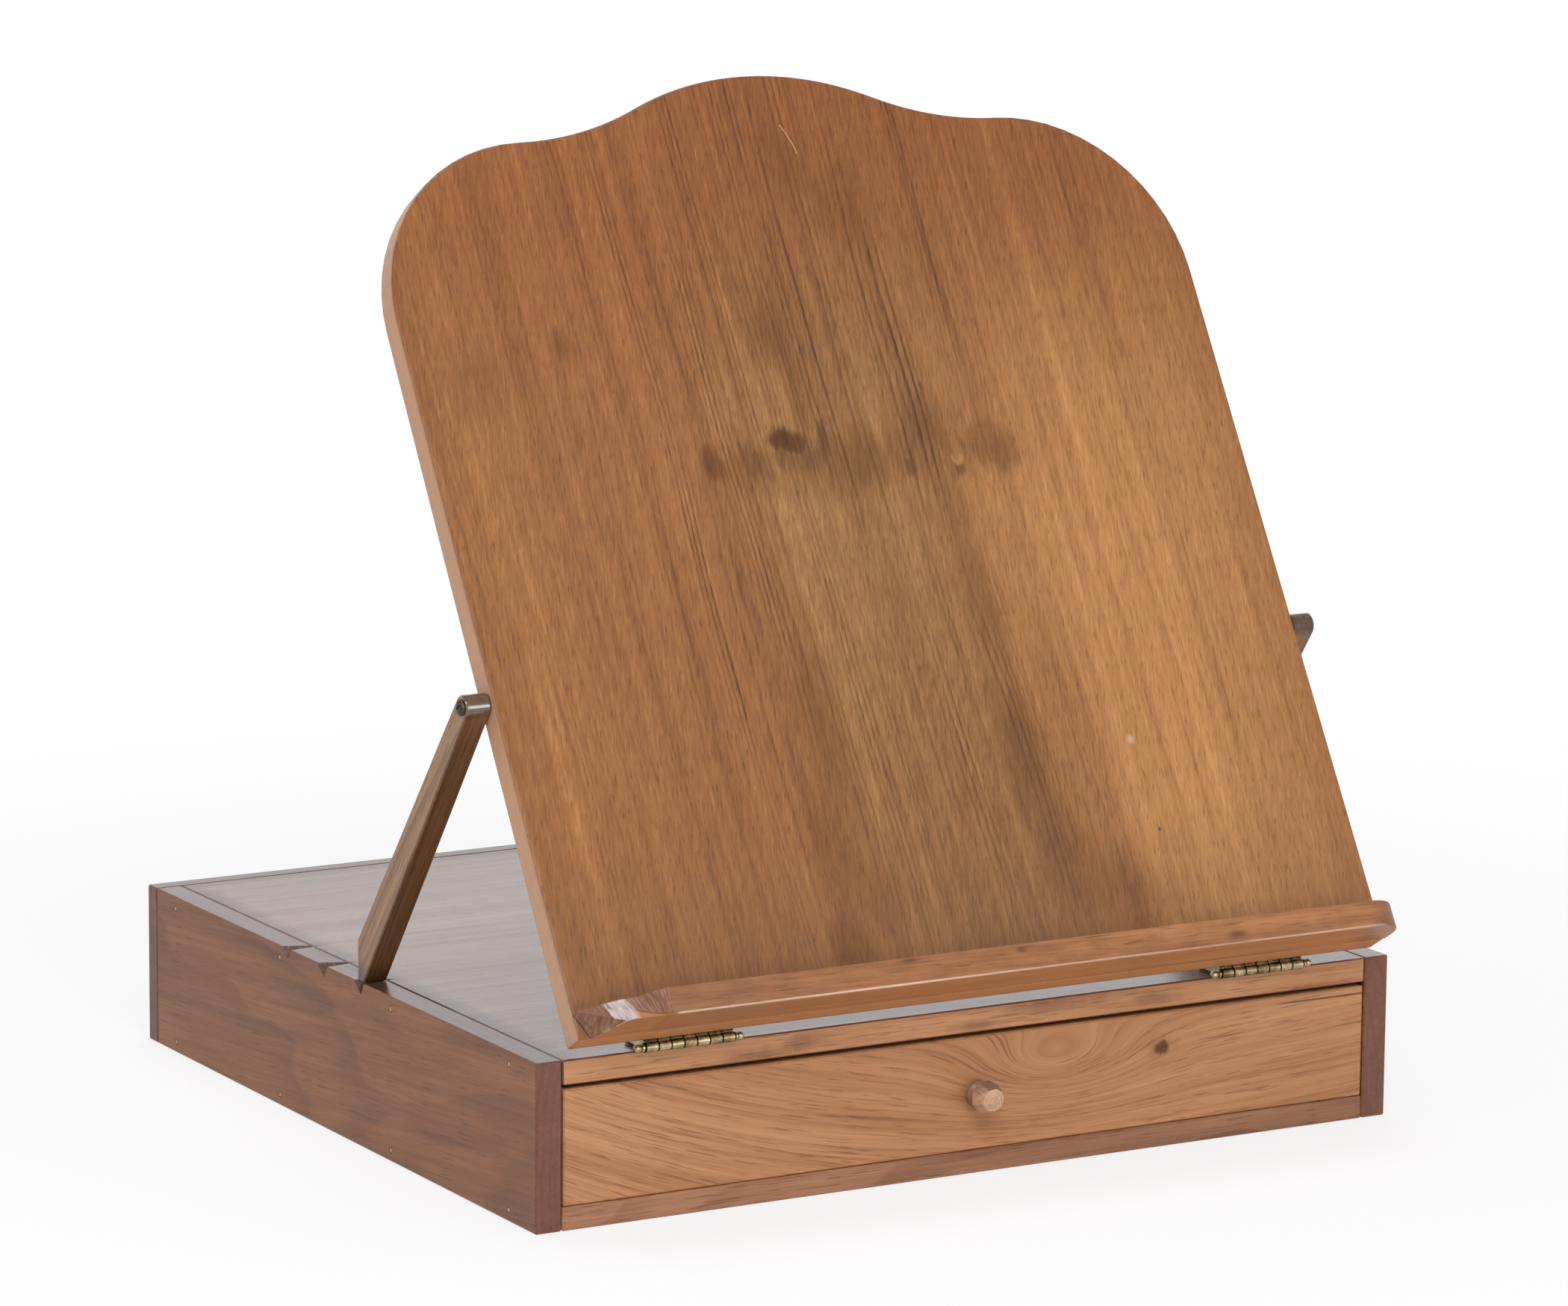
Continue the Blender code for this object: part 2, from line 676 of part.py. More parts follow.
def strut_reach():
    """Length of a strut's straight front edge below its pivot, and how far it slopes below level.

    The pivot rides on the board, and the toe stands just over the first notch."""
    level = math.cos(BOARD_TILT)
    upright = math.sin(BOARD_TILT)
    pivot_y = PIN_Y + PIVOT_ALONG_BOARD * level - PIVOT_HEIGHT * upright
    pivot_z = PIN_Z + PIVOT_ALONG_BOARD * upright + PIVOT_HEIGHT * level
    toe_y = CASE_FRONT + NOTCH_FIRST + FOOT_SETBACK
    toe_z = CASE_HEIGHT + SEAT_GAP
    straight = math.hypot(toe_y - pivot_y, toe_z - pivot_z)
    length = math.sqrt(straight ** 2 - STRUT_HALF_WIDTH ** 2)
    slope = math.atan2(pivot_z - toe_z, toe_y - pivot_y) - math.atan2(STRUT_HALF_WIDTH, length)
    return length, slope


def strut_outline(length, slope):
    """Round at the pivot, straight in front, tapering behind, with a level toe and an upright heel."""
    toe = (length, -STRUT_HALF_WIDTH)
    heel = (toe[0] + FOOT_FLAT * math.cos(slope), toe[1] + FOOT_FLAT * math.sin(slope))
    hip = (heel[0] - FOOT_CUT_HEIGHT * math.sin(slope), heel[1] + FOOT_CUT_HEIGHT * math.cos(slope))
    return [toe, heel, hip] + arc((0.0, 0.0), STRUT_HALF_WIDTH, 90, 270)


def strut_screw_profile():
    """A round-head screw down from its crown, with the head's underside at zero."""
    crown = []
    for radius, height in arc((0.0, 0.0), 1.0, 90, 0, BALL_STEPS):
        crown.append((radius * STRUT_SCREW_HEAD_RADIUS, height * STRUT_SCREW_HEAD_HEIGHT))
    return crown + [(STRUT_SCREW_RADIUS, 0.0)] + strut_screw_shank(0.0)


def strut_screw_shank(grow):
    """The shank from under the head to its point, made larger all round for its hole."""
    radius = STRUT_SCREW_RADIUS + grow
    reach = STRUT_THICKNESS + STRUT_SIDE_GAP + STRUT_SCREW_BITE
    return [(radius, -SEAT_GAP), (radius, STRUT_SCREW_POINT - reach), (0.0, -reach - grow)]


def strut_hole_profile():
    """Room for the shank, open past the outer face of the strut."""
    shank = strut_screw_shank(SEAT_GAP)
    return [(0.0, CUT_MARGIN), (shank[0][0], CUT_MARGIN)] + shank


def screw_slot_shape():
    """The slot across a strut screw's head."""
    reach = STRUT_SCREW_HEAD_RADIUS + CUT_MARGIN
    half = SCREW_SLOT_WIDTH / 2
    floor = STRUT_SCREW_HEAD_HEIGHT - SCREW_SLOT_DEPTH
    return block_shape((-reach, -half, floor), (reach, half, STRUT_SCREW_HEAD_HEIGHT + CUT_MARGIN))


def make_struts(hinge_line, board):
    length, slope = strut_reach()
    for word, sign in SIDES.items():
        pivot_place = (sign * STRUT_X, PIVOT_ALONG_BOARD, PIVOT_HEIGHT)
        pivot = new_empty(word + "_strut_pivot", pivot_place, -BOARD_TILT - slope, hinge_line)
        outline = strut_outline(length, slope)
        strut = as_object(word + "_strut", prism_shape(outline, STRUT_THICKNESS, STAND_IN_YZ))
        ease(strut, ARRIS)
        strut.data.materials.append(STRUT_WOOD)
        smooth(strut)
        carry(pivot, strut)

        head_seat = sign * (STRUT_X + STRUT_THICKNESS / 2 + SEAT_GAP)
        inward = Matrix.Rotation(sign * math.pi / 2, 4, "Y")
        place = Matrix.Translation((head_seat, PIVOT_ALONG_BOARD, PIVOT_HEIGHT)) @ inward
        screw_shape = turned_shape(strut_screw_profile(), PIN_SIDES)
        hole_shape = turned_shape(strut_hole_profile(), PIN_SIDES)
        screw = as_object(word + "_strut_screw", gathered([(screw_shape, place)]))
        hole = cutter_from(word + "_strut_hole", gathered([(hole_shape, place)]))
        slot = cutter_from(word + "_screw_slot", gathered([(screw_slot_shape(), place)]))
        carry(hinge_line, screw, hole, slot)
        cut(screw, slot)
        screw.data.materials.append(STEEL)
        smooth(screw)
        cut(strut, hole)
        cut(board, hole)


# Drawer, in the frame of its slide: the front's face is at Y zero


def make_drawer():
    slide = new_empty("drawer_slide", (0.0, CASE_FRONT, 0.0))
    depth = PANEL_BACK - CASE_FRONT - SEAT_GAP
    rebate_front = DRAWER_FRONT_THICKNESS - FRONT_REBATE
    inner_half = DRAWER_HALF - DRAWER_WALL
    floor_low = DRAWER_LOW + DRAWER_BOTTOM_RISE
    floor_high = floor_low + DRAWER_BOTTOM_THICKNESS
    front_high = (DRAWER_HALF, DRAWER_FRONT_THICKNESS, DRAWER_HIGH)
    front = block("drawer_front", (-DRAWER_HALF, 0.0, DRAWER_LOW), front_high, DRAWER_WOOD)
    pieces = [front]
    walls = []
    for word, sign in SIDES.items():
        rebate_low = (sign * (inner_half - SEAT_GAP), rebate_front, 0.0)
        rebate_high = (sign * CASE_HALF, DRAWER_FRONT_THICKNESS + CUT_MARGIN, CASE_HEIGHT)
        rebate = cutter_from(word + "_rebate", block_shape(rebate_low, rebate_high))
        cut(front, rebate)
        low = (sign * inner_half, rebate_front + SEAT_GAP, DRAWER_LOW)
        high = (sign * DRAWER_HALF, depth, DRAWER_WALL_HIGH)
        wall = block("drawer_" + word + "_side", low, high, DRAWER_WOOD)
        walls.append(wall)
        pieces += [rebate, wall]

    back_half = inner_half - SEAT_GAP
    back_low = (-back_half, depth - DRAWER_WALL, floor_high + SEAT_GAP)
    back = block("drawer_back", back_low, (back_half, depth, DRAWER_WALL_HIGH), DRAWER_WOOD)
    floor_half = inner_half + GROOVE_DEPTH - SEAT_GAP
    floor_front = DRAWER_FRONT_THICKNESS - GROOVE_DEPTH + SEAT_GAP
    floor_corner = (-floor_half, floor_front, floor_low)
    floor = block("drawer_bottom", floor_corner, (floor_half, depth, floor_high), DRAWER_WOOD)
    groove_low = (-floor_half - SEAT_GAP, floor_front - SEAT_GAP, floor_low - SEAT_GAP)
    groove_high = (floor_half + SEAT_GAP, depth + CUT_MARGIN, floor_high + SEAT_GAP)
    groove = cutter_from("drawer_groove", block_shape(groove_low, groove_high))
    for piece in (front, *walls):
        cut(piece, groove)

    pieces += [back, floor, groove]
    pieces += make_knob(front)
    carry(slide, *pieces)


def knob_profile():
    """A flat-faced knob, widest at a rim behind its face, on a waisted neck and a plain tenon."""
    neck_end = KNOB_FOOT_LENGTH + KNOB_NECK_LENGTH
    under_rim = neck_end + KNOB_FLARE_LENGTH
    rim = under_rim + KNOB_RIM_LENGTH
    face = under_rim + KNOB_HEAD_LENGTH
    profile = [(0.0, face), (KNOB_FACE_RADIUS - ARRIS, face), (KNOB_FACE_RADIUS, face - ARRIS)]
    profile += [(KNOB_RADIUS, rim), (KNOB_RADIUS, under_rim + ARRIS), (KNOB_RADIUS - ARRIS, under_rim)]
    profile += [(KNOB_NECK_RADIUS, neck_end), (KNOB_NECK_RADIUS, KNOB_FOOT_LENGTH)]
    profile += [(KNOB_FOOT_RADIUS, SEAT_GAP), (KNOB_TENON_RADIUS, SEAT_GAP)]
    return profile + [(KNOB_TENON_RADIUS, -DRAWER_FRONT_THICKNESS), (0.0, -DRAWER_FRONT_THICKNESS)]


def make_knob(front):
    """The knob in the middle of the drawer front, its tenon ending flush inside."""
    middle = (DRAWER_LOW + DRAWER_HIGH) / 2
    place = Matrix.Translation((0.0, 0.0, middle)) @ TOWARDS_READER
    knob = as_object("drawer_knob", gathered([(turned_shape(knob_profile(), KNOB_SIDES), place)]))
    knob.data.materials.append(DRAWER_WOOD)
    smooth(knob)
    hole_length = 2 * (DRAWER_FRONT_THICKNESS + CUT_MARGIN)
    hole_shape = rod_shape(KNOB_TENON_RADIUS + SEAT_GAP, hole_length, KNOB_SIDES)
    hole = cutter_from("knob_hole", gathered([(hole_shape, place)]))
    cut(front, hole)
    return [knob, hole]


def main():
    top = make_case()
    hinge_line = new_empty("board_hinge_line", (0.0, PIN_Y, PIN_Z), BOARD_TILT)
    board = make_board(hinge_line)
    make_ledge(hinge_line)
    make_hinges(hinge_line, top, board)
    make_struts(hinge_line, board)
    make_drawer()


main()
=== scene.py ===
"""Looks of the travel lectern: its finishes, wear, light and camera."""

import json
import math

import bmesh
import bpy
from mathutils import Matrix, Vector


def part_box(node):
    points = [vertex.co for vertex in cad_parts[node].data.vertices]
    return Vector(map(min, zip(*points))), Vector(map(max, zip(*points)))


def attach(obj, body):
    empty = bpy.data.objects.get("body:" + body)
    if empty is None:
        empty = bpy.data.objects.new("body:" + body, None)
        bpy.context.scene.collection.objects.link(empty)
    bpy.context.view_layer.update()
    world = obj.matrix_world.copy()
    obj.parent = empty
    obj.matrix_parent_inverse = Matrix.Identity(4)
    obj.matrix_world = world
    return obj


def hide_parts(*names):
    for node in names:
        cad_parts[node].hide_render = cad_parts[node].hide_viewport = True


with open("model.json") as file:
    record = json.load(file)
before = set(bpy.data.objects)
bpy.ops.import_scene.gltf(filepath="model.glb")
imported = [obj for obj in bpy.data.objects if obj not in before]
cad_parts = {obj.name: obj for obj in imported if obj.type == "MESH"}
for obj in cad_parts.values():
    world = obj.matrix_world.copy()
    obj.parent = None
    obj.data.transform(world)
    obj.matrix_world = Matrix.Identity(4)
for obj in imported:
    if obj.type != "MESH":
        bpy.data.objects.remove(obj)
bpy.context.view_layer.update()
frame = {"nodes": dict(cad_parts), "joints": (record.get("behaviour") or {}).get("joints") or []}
NODES = frame["nodes"]
JOINTS = {joint["name"]: joint for joint in frame["joints"]}

ACROSS = Vector((1.0, 0.0, 0.0))
DEEP = Vector((0.0, 1.0, 0.0))
UP = Vector((0.0, 0.0, 1.0))

# The board's own frame, from its hinge: X across, Y up the board, Z out of its face
PIN = Vector(JOINTS["board_fold"]["pos_m"])
TILT = -math.radians(JOINTS["board_fold"]["range_deg"][0])
BOARD_UP = Vector((0.0, math.cos(TILT), math.sin(TILT)))
BOARD_OUT = Vector((0.0, -math.sin(TILT), math.cos(TILT)))

# Places taken from the solids
BOARD_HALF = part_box("book_board")[1].x
CASE_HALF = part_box("left_side")[0].x * -1
CASE_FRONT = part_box("left_side")[0].y
CASE_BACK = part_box("back_panel")[1].y
CASE_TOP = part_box("left_side")[1].z

# Sockets of the Mix node for colours
MIX_A = 6
MIX_B = 7
MIX_RESULT = 2


class Graph:
    """Adds nodes to a tree. Any input may be a socket or a plain value."""

    def __init__(self, tree):
        self.tree = tree

    def node(self, kind, **settings):
        made = self.tree.nodes.new("ShaderNode" + kind)
        for key, value in settings.items():
            setattr(made, key, value)
        return made

    def feed(self, socket, value):
        if isinstance(value, bpy.types.NodeSocket):
            self.tree.links.new(value, socket)
        elif socket.type == "RGBA":
            socket.default_value = (*value, 1.0)
        else:
            socket.default_value = value

    def math(self, operation, a, b=0.0, c=0.0, clamp=False):
        made = self.node("Math", operation=operation, use_clamp=clamp)
        for socket, value in zip(made.inputs, (a, b, c)):
            self.feed(socket, value)
        return made.outputs[0]

    def add(self, a, b):
        return self.math("ADD", a, b)

    def less(self, a, b):
        return self.math("SUBTRACT", a, b)

    def times(self, *values):
        total = values[0]
        for value in values[1:]:
            total = self.math("MULTIPLY", total, value)
        return total

    def most(self, *values):
        total = values[0]
        for value in values[1:]:
            total = self.math("MAXIMUM", total, value)
        return total

    def swing(self, noise, amount, base=0.0):
        """Noise from 0 to 1 turned into a swing of plus or minus half the amount about a base."""
        return self.math("MULTIPLY_ADD", self.less(noise, 0.5), amount, base)

    def vector(self, operation, a, b=(0.0, 0.0, 0.0), result="Vector"):
        made = self.node("VectorMath", operation=operation)
        self.feed(made.inputs[0], a)
        self.feed(made.inputs[1], b)
        return made.outputs[result]

    def length(self, vector):
        return self.vector("LENGTH", vector, result="Value")

    def split(self, vector):
        made = self.node("SeparateXYZ")
        self.feed(made.inputs[0], vector)
        return made.outputs[0], made.outputs[1], made.outputs[2]

    def join(self, *values):
        made = self.node("CombineXYZ")
        for socket, value in zip(made.inputs, values):
            self.feed(socket, value)
        return made.outputs[0]

    def noise(self, vector, scale, detail=2.0, roughness=0.5):
        """Noise from 0 to 1, with a scale in cells per metre along each axis."""
        made = self.node("TexNoise")
        self.feed(made.inputs["Vector"], self.vector("MULTIPLY", vector, scale))
        made.inputs["Scale"].default_value = 1.0
        made.inputs["Detail"].default_value = detail
        made.inputs["Roughness"].default_value = roughness
        return made.outputs[0]

    def fade(self, value, start, end, low=0.0, high=1.0):
        """A smooth step from low at start to high at end."""
        made = self.node("MapRange", interpolation_type="SMOOTHSTEP")
        names = ("Value", "From Min", "From Max", "To Min", "To Max")
        for name, given in zip(names, (value, start, end, low, high)):
            self.feed(made.inputs[name], given)
        return made.outputs[0]

    def band(self, value, middle, half, soft):
        """One within a half width of a middle, with soft sides."""
        gap = self.math("ABSOLUTE", self.less(value, middle))
        return self.fade(gap, half + soft, half)

    def ramp(self, factor, stops):
        """Colours along a line, each stop a place and a colour."""
        made = self.node("ValToRGB")
        elements = made.color_ramp.elements
        while len(elements) < len(stops):
            elements.new(1.0)
        for element, (place, colour) in zip(elements, stops):
            element.position = place
            element.color = (*colour, 1.0)
        self.feed(made.inputs[0], factor)
        return made.outputs[0]

    def mix(self, factor, a, b, blend="MIX"):
        made = self.node("Mix", data_type="RGBA", blend_type=blend)
        self.feed(made.inputs[0], factor)
        self.feed(made.inputs[MIX_A], a)
        self.feed(made.inputs[MIX_B], b)
        return made.outputs[MIX_RESULT]

    def over(self, colour, mask, share, other):
        """A colour with a share of another laid over it where a mask is one."""
        return self.mix(self.times(mask, share), colour, other)


# Relief and shine that all finishes share
RELIEF_STRENGTH = 0.35
RELIEF_DEPTH = 0.0002
SPECULAR = 0.22
# Samples for the rounded edges, and how far the normal turns on them, as a cosine
ARRIS_SAMPLES = 6
ARRIS_TURN = (0.995, 0.86)
# The reach of the dirty arris on the case and the drawer
FINE_ARRIS = 0.0009
# Noise that makes the edges of marks uneven, in cells per metre
TORN_CELLS = (130.0, 35.0, 130.0)
# Where a mark ends and where its even core begins, in shares of its reach
MARK_END = 1.25
MARK_CORE = 0.1


class Finish(Graph):
    """The nodes of one material."""

    def __init__(self, name):
        self.material = bpy.data.materials.new(name)
        self.material.use_nodes = True
        super().__init__(self.material.node_tree)
        self.shader = self.tree.nodes["Principled BSDF"]

    def rest(self):
        """Places in metres of the rest pose, which stay with a piece when it moves."""
        return self.node("TexCoord").outputs["Object"]

    def local(self, origin, grain, normal):
        """A piece's own places in metres: Y along its grain, Z out of its main face."""
        axes = Matrix((grain.cross(normal), grain, normal)).transposed()
        made = self.node("Mapping", vector_type="TEXTURE")
        self.feed(made.inputs["Vector"], self.rest())
        made.inputs["Location"].default_value = origin
        made.inputs["Rotation"].default_value = axes.to_euler()
        return made.outputs[0]

    def facing(self, way):
        """How far a face looks along a direction, from -1 to 1."""
        return self.vector("DOT_PRODUCT", self.node("TexCoord").outputs["Normal"], tuple(way), "Value")

    def looks(self, way, start, end, either=False):
        """A smooth step in how far a face looks along a direction, or either way along it."""
        turn = self.facing(way)
        if either:
            turn = self.math("ABSOLUTE", turn)
        return self.fade(turn, start, end)

    def arris(self, radius):
        """One on the sharp edges, fading out over a radius."""
        rounded = self.node("Bevel", samples=ARRIS_SAMPLES)
        rounded.inputs["Radius"].default_value = radius
        flat = self.node("NewGeometry").outputs["True Normal"]
        return self.fade(self.vector("DOT_PRODUCT", rounded.outputs[0], flat, "Value"), *ARRIS_TURN)

    def speckle(self, cells, detail=3.0):
        """Noise of the same scale along each axis."""
        return self.noise(self.rest(), (cells, cells, cells), detail)

    def torn(self, place, amount=1.2, fine=1.0):
        """An uneven edge for marks, drawn out along Y."""
        scale = tuple(cells * fine for cells in TORN_CELLS)
        return self.swing(self.noise(place, scale, 3.0), amount)

    def away(self, place, centre, reach):
        """How far a place on a face is from a centre, counted in a reach along X and Y."""
        shifted = self.vector("SUBTRACT", place, (*centre, 0.0))
        scaled = self.vector("MULTIPLY", shifted, (1 / reach[0], 1 / reach[1], 0.0))
        return self.length(scaled)

    def blot(self, place, centre, reach, edge=0.0, core=MARK_CORE):
        """A soft mark on a face, with an uneven edge and an even core."""
        return self.fade(self.add(self.away(place, centre, reach), edge), MARK_END, core)

    def blots(self, place, marks, edge, core=MARK_CORE):
        """The strongest of several marks: across, up, reach across, reach up and strength."""
        shown = []
        for across, up, wide, tall, strength in marks:
            mark = self.blot(place, (across, up), (wide, tall), edge, core)
            shown.append(self.times(mark, strength))
        return self.most(*shown)

    def done(self, colour, roughness, height, coat=0.0, coat_roughness=0.2):
        """Joins colour, gloss and relief to the shader."""
        relief = self.node("Bump")
        relief.inputs["Strength"].default_value = RELIEF_STRENGTH
        relief.inputs["Distance"].default_value = RELIEF_DEPTH
        self.feed(relief.inputs["Height"], height)
        shader = self.shader.inputs
        self.feed(shader["Base Color"], colour)
        self.feed(shader["Roughness"], roughness)
        self.feed(shader["Normal"], relief.outputs[0])
        self.feed(shader["Specular IOR Level"], SPECULAR)
        self.feed(shader["Coat Weight"], coat)
        self.feed(shader["Coat Roughness"], coat_roughness)
        return self.material


def srgb(red, green, blue):
    """A colour as a screen shows it, from 0 to 255, in linear values by the sRGB curve."""
    values = []
    for value in (red, green, blue):
        share = value / 255
        values.append(share / 12.92 if share <= 0.04045 else ((share + 0.055) / 1.055) ** 2.4)
    return tuple(values)


def tones(*stops):
    """The stops of a ramp, each given as a place and a colour as a screen shows it."""
    return tuple((place, srgb(*colour)) for place, *colour in stops)


# The grain of all the wood as noise: cells per metre across and along it, detail and roughness
SLOW_BEND = (9.0, 3.0)
QUICK_BEND = (30.0, 5.0)
STREAK = (75.0, 1.6, 4.0, 0.6)
STRAND = (330.0, 11.0, 3.0, 0.65)
CLOUD = (7.0, 5.0)
FIBRE = (900.0, 22.0, 3.0, 0.6)
PORE = (1500.0, 60.0, 1.0)
# How much further the slow bends go than the quick ones
SLOW_SHARE = 4
# Cells per metre along the grain that a slant of one adds to fibres and pores
SLANT_CELLS = 400.0
# How far a step of one in the seed moves a piece within its tree, in metres
TREE_STEPS = (1.7, 0.9, 2.3)
# How pores show, and how much the clouds in the wood change its tone
PORE_EDGE = (0.60, 0.70)
PORE_DARK = srgb(120, 80, 56)
PORE_DEPTH = 0.8
CLOUD_SWING = 0.3
# Years: how uneven they are, where in each the dark late wood begins and ends, and how many show
YEAR_CELLS = (0.23, 1.0, 1.0)
YEAR_SWING = 2.4
LATE_BEGINS = (0.35, 0.92)
LATE_ENDS = (1.0, 0.93)
SHOWN_CELLS = (0.31, 1.0, 1.0)
SHOWN = (0.35, 0.65)


class Timber:
    """The grain of one piece of wood: rings, streaks, fibres and pores, drawn out along Y.

    The heart of the tree is a place across and out of the face, the lean is how far the grain leaves Y in
    both, and cross is how far fibres slant across the grain. A ring is a year's width, and wander its bends.
    """

    def __init__(self, finish, place, seed, heart=(0.02, -0.09), lean=(0.0, 0.02), cross=0.0,
                 ring=0.0035, wander=0.006, field=None):
        self.finish = finish
        x, y, z = finish.split(place)
        x = finish.math("MULTIPLY_ADD", y, -lean[0], x)
        tree = tuple(seed * step for step in TREE_STEPS)
        self.stock = finish.vector("ADD", finish.join(x, y, z), tree)
        crossed = finish.math("MULTIPLY_ADD", y, -cross, x)
        self.fine = finish.vector("ADD", finish.join(crossed, y, z), tree)
        if field is None:
            aside = finish.less(x, heart[0])
            depth = finish.less(finish.math("MULTIPLY_ADD", y, -lean[1], z), heart[1])
            field = finish.length(finish.join(aside, 0.0, depth))
        self.late = self.rings(field, seed, ring, wander)
        self.streak = self.drawn(*STREAK)
        self.strand = self.drawn(*STRAND)
        self.cloud = self.drawn(*CLOUD)
        self.fibre = self.slanted(cross, *FIBRE)
        self.pore = finish.fade(self.slanted(cross, *PORE), *PORE_EDGE)

    def drawn(self, across, along, detail=2.0, roughness=0.5):
        """Noise with a scale across and along the grain."""
        return self.finish.noise(self.stock, (across, along, across), detail, roughness)

    def slanted(self, cross, across, along, detail, roughness=0.5):
        """Noise for fibres and pores, which slant across the grain."""
        scale = (across, along + SLANT_CELLS * cross, across)
        return self.finish.noise(self.fine, scale, detail, roughness)

    def rings(self, field, seed, ring, wander):
        """The dark late wood of the years that show, one year for each ring's width of the field."""
        finish = self.finish
        field = finish.swing(self.drawn(*SLOW_BEND), wander * SLOW_SHARE, field)
        field = finish.swing(self.drawn(*QUICK_BEND), wander, field)
        age = finish.math("DIVIDE", field, ring)
        years = finish.join(age, seed, 0.0)
        uneven = finish.noise(years, YEAR_CELLS, 1.0)
        season = finish.math("FRACT", finish.math("MULTIPLY_ADD", uneven, YEAR_SWING, age))
        late = finish.times(finish.fade(season, *LATE_BEGINS), finish.fade(season, *LATE_ENDS))
        return finish.times(late, finish.fade(finish.noise(years, SHOWN_CELLS), *SHOWN))

    def tone(self, rings=0.3, streaks=0.75, strands=0.55, fibres=0.5, base=0.55):
        """How pale the wood is, from 0 to 1."""
        finish = self.finish
        value = finish.swing(self.streak, streaks, base)
        value = finish.swing(self.strand, strands, value)
        value = finish.swing(self.cloud, CLOUD_SWING, value)
        value = finish.less(value, finish.times(self.late, rings))
        return finish.math("MULTIPLY_ADD", finish.less(self.fibre, 0.5), fibres, value, clamp=True)

    def pored(self, colour, amount=0.4):
        """The colour with its open pores darkened."""
        return self.finish.mix(self.finish.times(self.pore, amount), colour, PORE_DARK, "MULTIPLY")

    def relief(self):
        return self.finish.math("MULTIPLY_ADD", self.pore, -PORE_DEPTH, self.fibre)

    def gloss(self, roughness, spread=0.1):
        return self.finish.swing(self.cloud, spread, self.finish.swing(self.fibre, spread, roughness))


# Wood and metal colours, each from dark to pale
ORANGE = tones((0.0, 80, 48, 28), (0.4, 130, 84, 50), (0.7, 151, 101, 60), (1.0, 178, 126, 80))
OLIVE = tones((0.0, 76, 50, 30), (0.4, 126, 88, 53), (0.7, 150, 110, 69), (1.0, 182, 142, 94))
GOLDEN = tones((0.0, 110, 71, 41), (0.4, 158, 109, 65), (0.7, 180, 128, 79), (1.0, 200, 150, 99))
LEDGE = tones((0.0, 84, 50, 30), (0.4, 140, 92, 60), (0.7, 162, 112, 74), (1.0, 186, 138, 98))
UNDERSIDE = tones((0.0, 118, 74, 42), (0.5, 170, 112, 66), (1.0, 196, 140, 90))
CARVED = tones((0.3, 103, 68, 53), (0.5, 121, 83, 64), (0.75, 155, 116, 92))
CASE = tones((0.0, 88, 51, 30), (0.5, 131, 83, 50), (1.0, 162, 111, 74))
# Notch walls: painted shade in their dark stops, raw wood in their paler ones
NOTCH_SHADE_AND_RAW = tones((0.35, 58, 36, 26), (0.6, 98, 62, 44), (0.8, 150, 108, 76))
TOP = tones((0.0, 52, 34, 28), (0.5, 120, 78, 58), (1.0, 148, 106, 82))
FRONT = tones((0.0, 120, 76, 48), (0.45, 167, 117, 79), (0.75, 188, 138, 98), (1.0, 210, 164, 122))
RAIL = tones((0.0, 104, 68, 50), (0.45, 152, 108, 81), (0.75, 172, 127, 96), (1.0, 196, 152, 118))
STRUT = tones((0.0, 82, 54, 32), (0.5, 141, 102, 67), (1.0, 182, 142, 101))
KNOB = tones((0.0, 132, 92, 68), (0.4, 184, 144, 114), (0.7, 206, 168, 140), (1.0, 226, 196, 170))
BARE = tones((0.0, 150, 104, 66), (0.5, 196, 150, 106), (1.0, 220, 182, 140))
BRASS = tones((0.3, 74, 62, 42), (0.5, 150, 132, 98), (0.8, 216, 202, 166))
STEEL = tones((0.3, 38, 31, 27), (0.7, 92, 80, 70))
FILLER = tones((0.3, 150, 112, 84), (0.7, 196, 160, 128))

# Dirt and stains
GRIME = srgb(64, 40, 30)
STAIN = srgb(74, 41, 12)
SMUDGE = srgb(96, 64, 48)
HINGE_DIRT = srgb(40, 36, 24)

# Dark spots on the board with a firm outline: across, up, reach across, reach up and strength
BOARD_SPOTS = (
    (-0.0330, 0.2550, 0.0076, 0.0066, 1.00),
    (-0.0270, 0.2530, 0.0090, 0.0070, 0.90),
    (-0.0340, 0.2470, 0.0060, 0.0080, 0.62),
    (-0.0240, 0.2460, 0.0140, 0.0100, 0.56),
    (-0.0670, 0.2462, 0.0080, 0.0100, 0.70),
    (-0.0482, 0.2459, 0.0060, 0.0105, 0.66),
    (-0.0122, 0.2500, 0.0040, 0.0140, 0.60),
    (0.0284, 0.2382, 0.0048, 0.0062, 0.66),
    (0.0526, 0.2350, 0.0036, 0.0044, 0.75),
    (0.0640, 0.2455, 0.0120, 0.0110, 0.44),
    (0.0745, 0.2420, 0.0095, 0.0125, 0.48),
    (0.0690, 0.2510, 0.0110, 0.0080, 0.32),
)
SPOT_CORE = 0.4
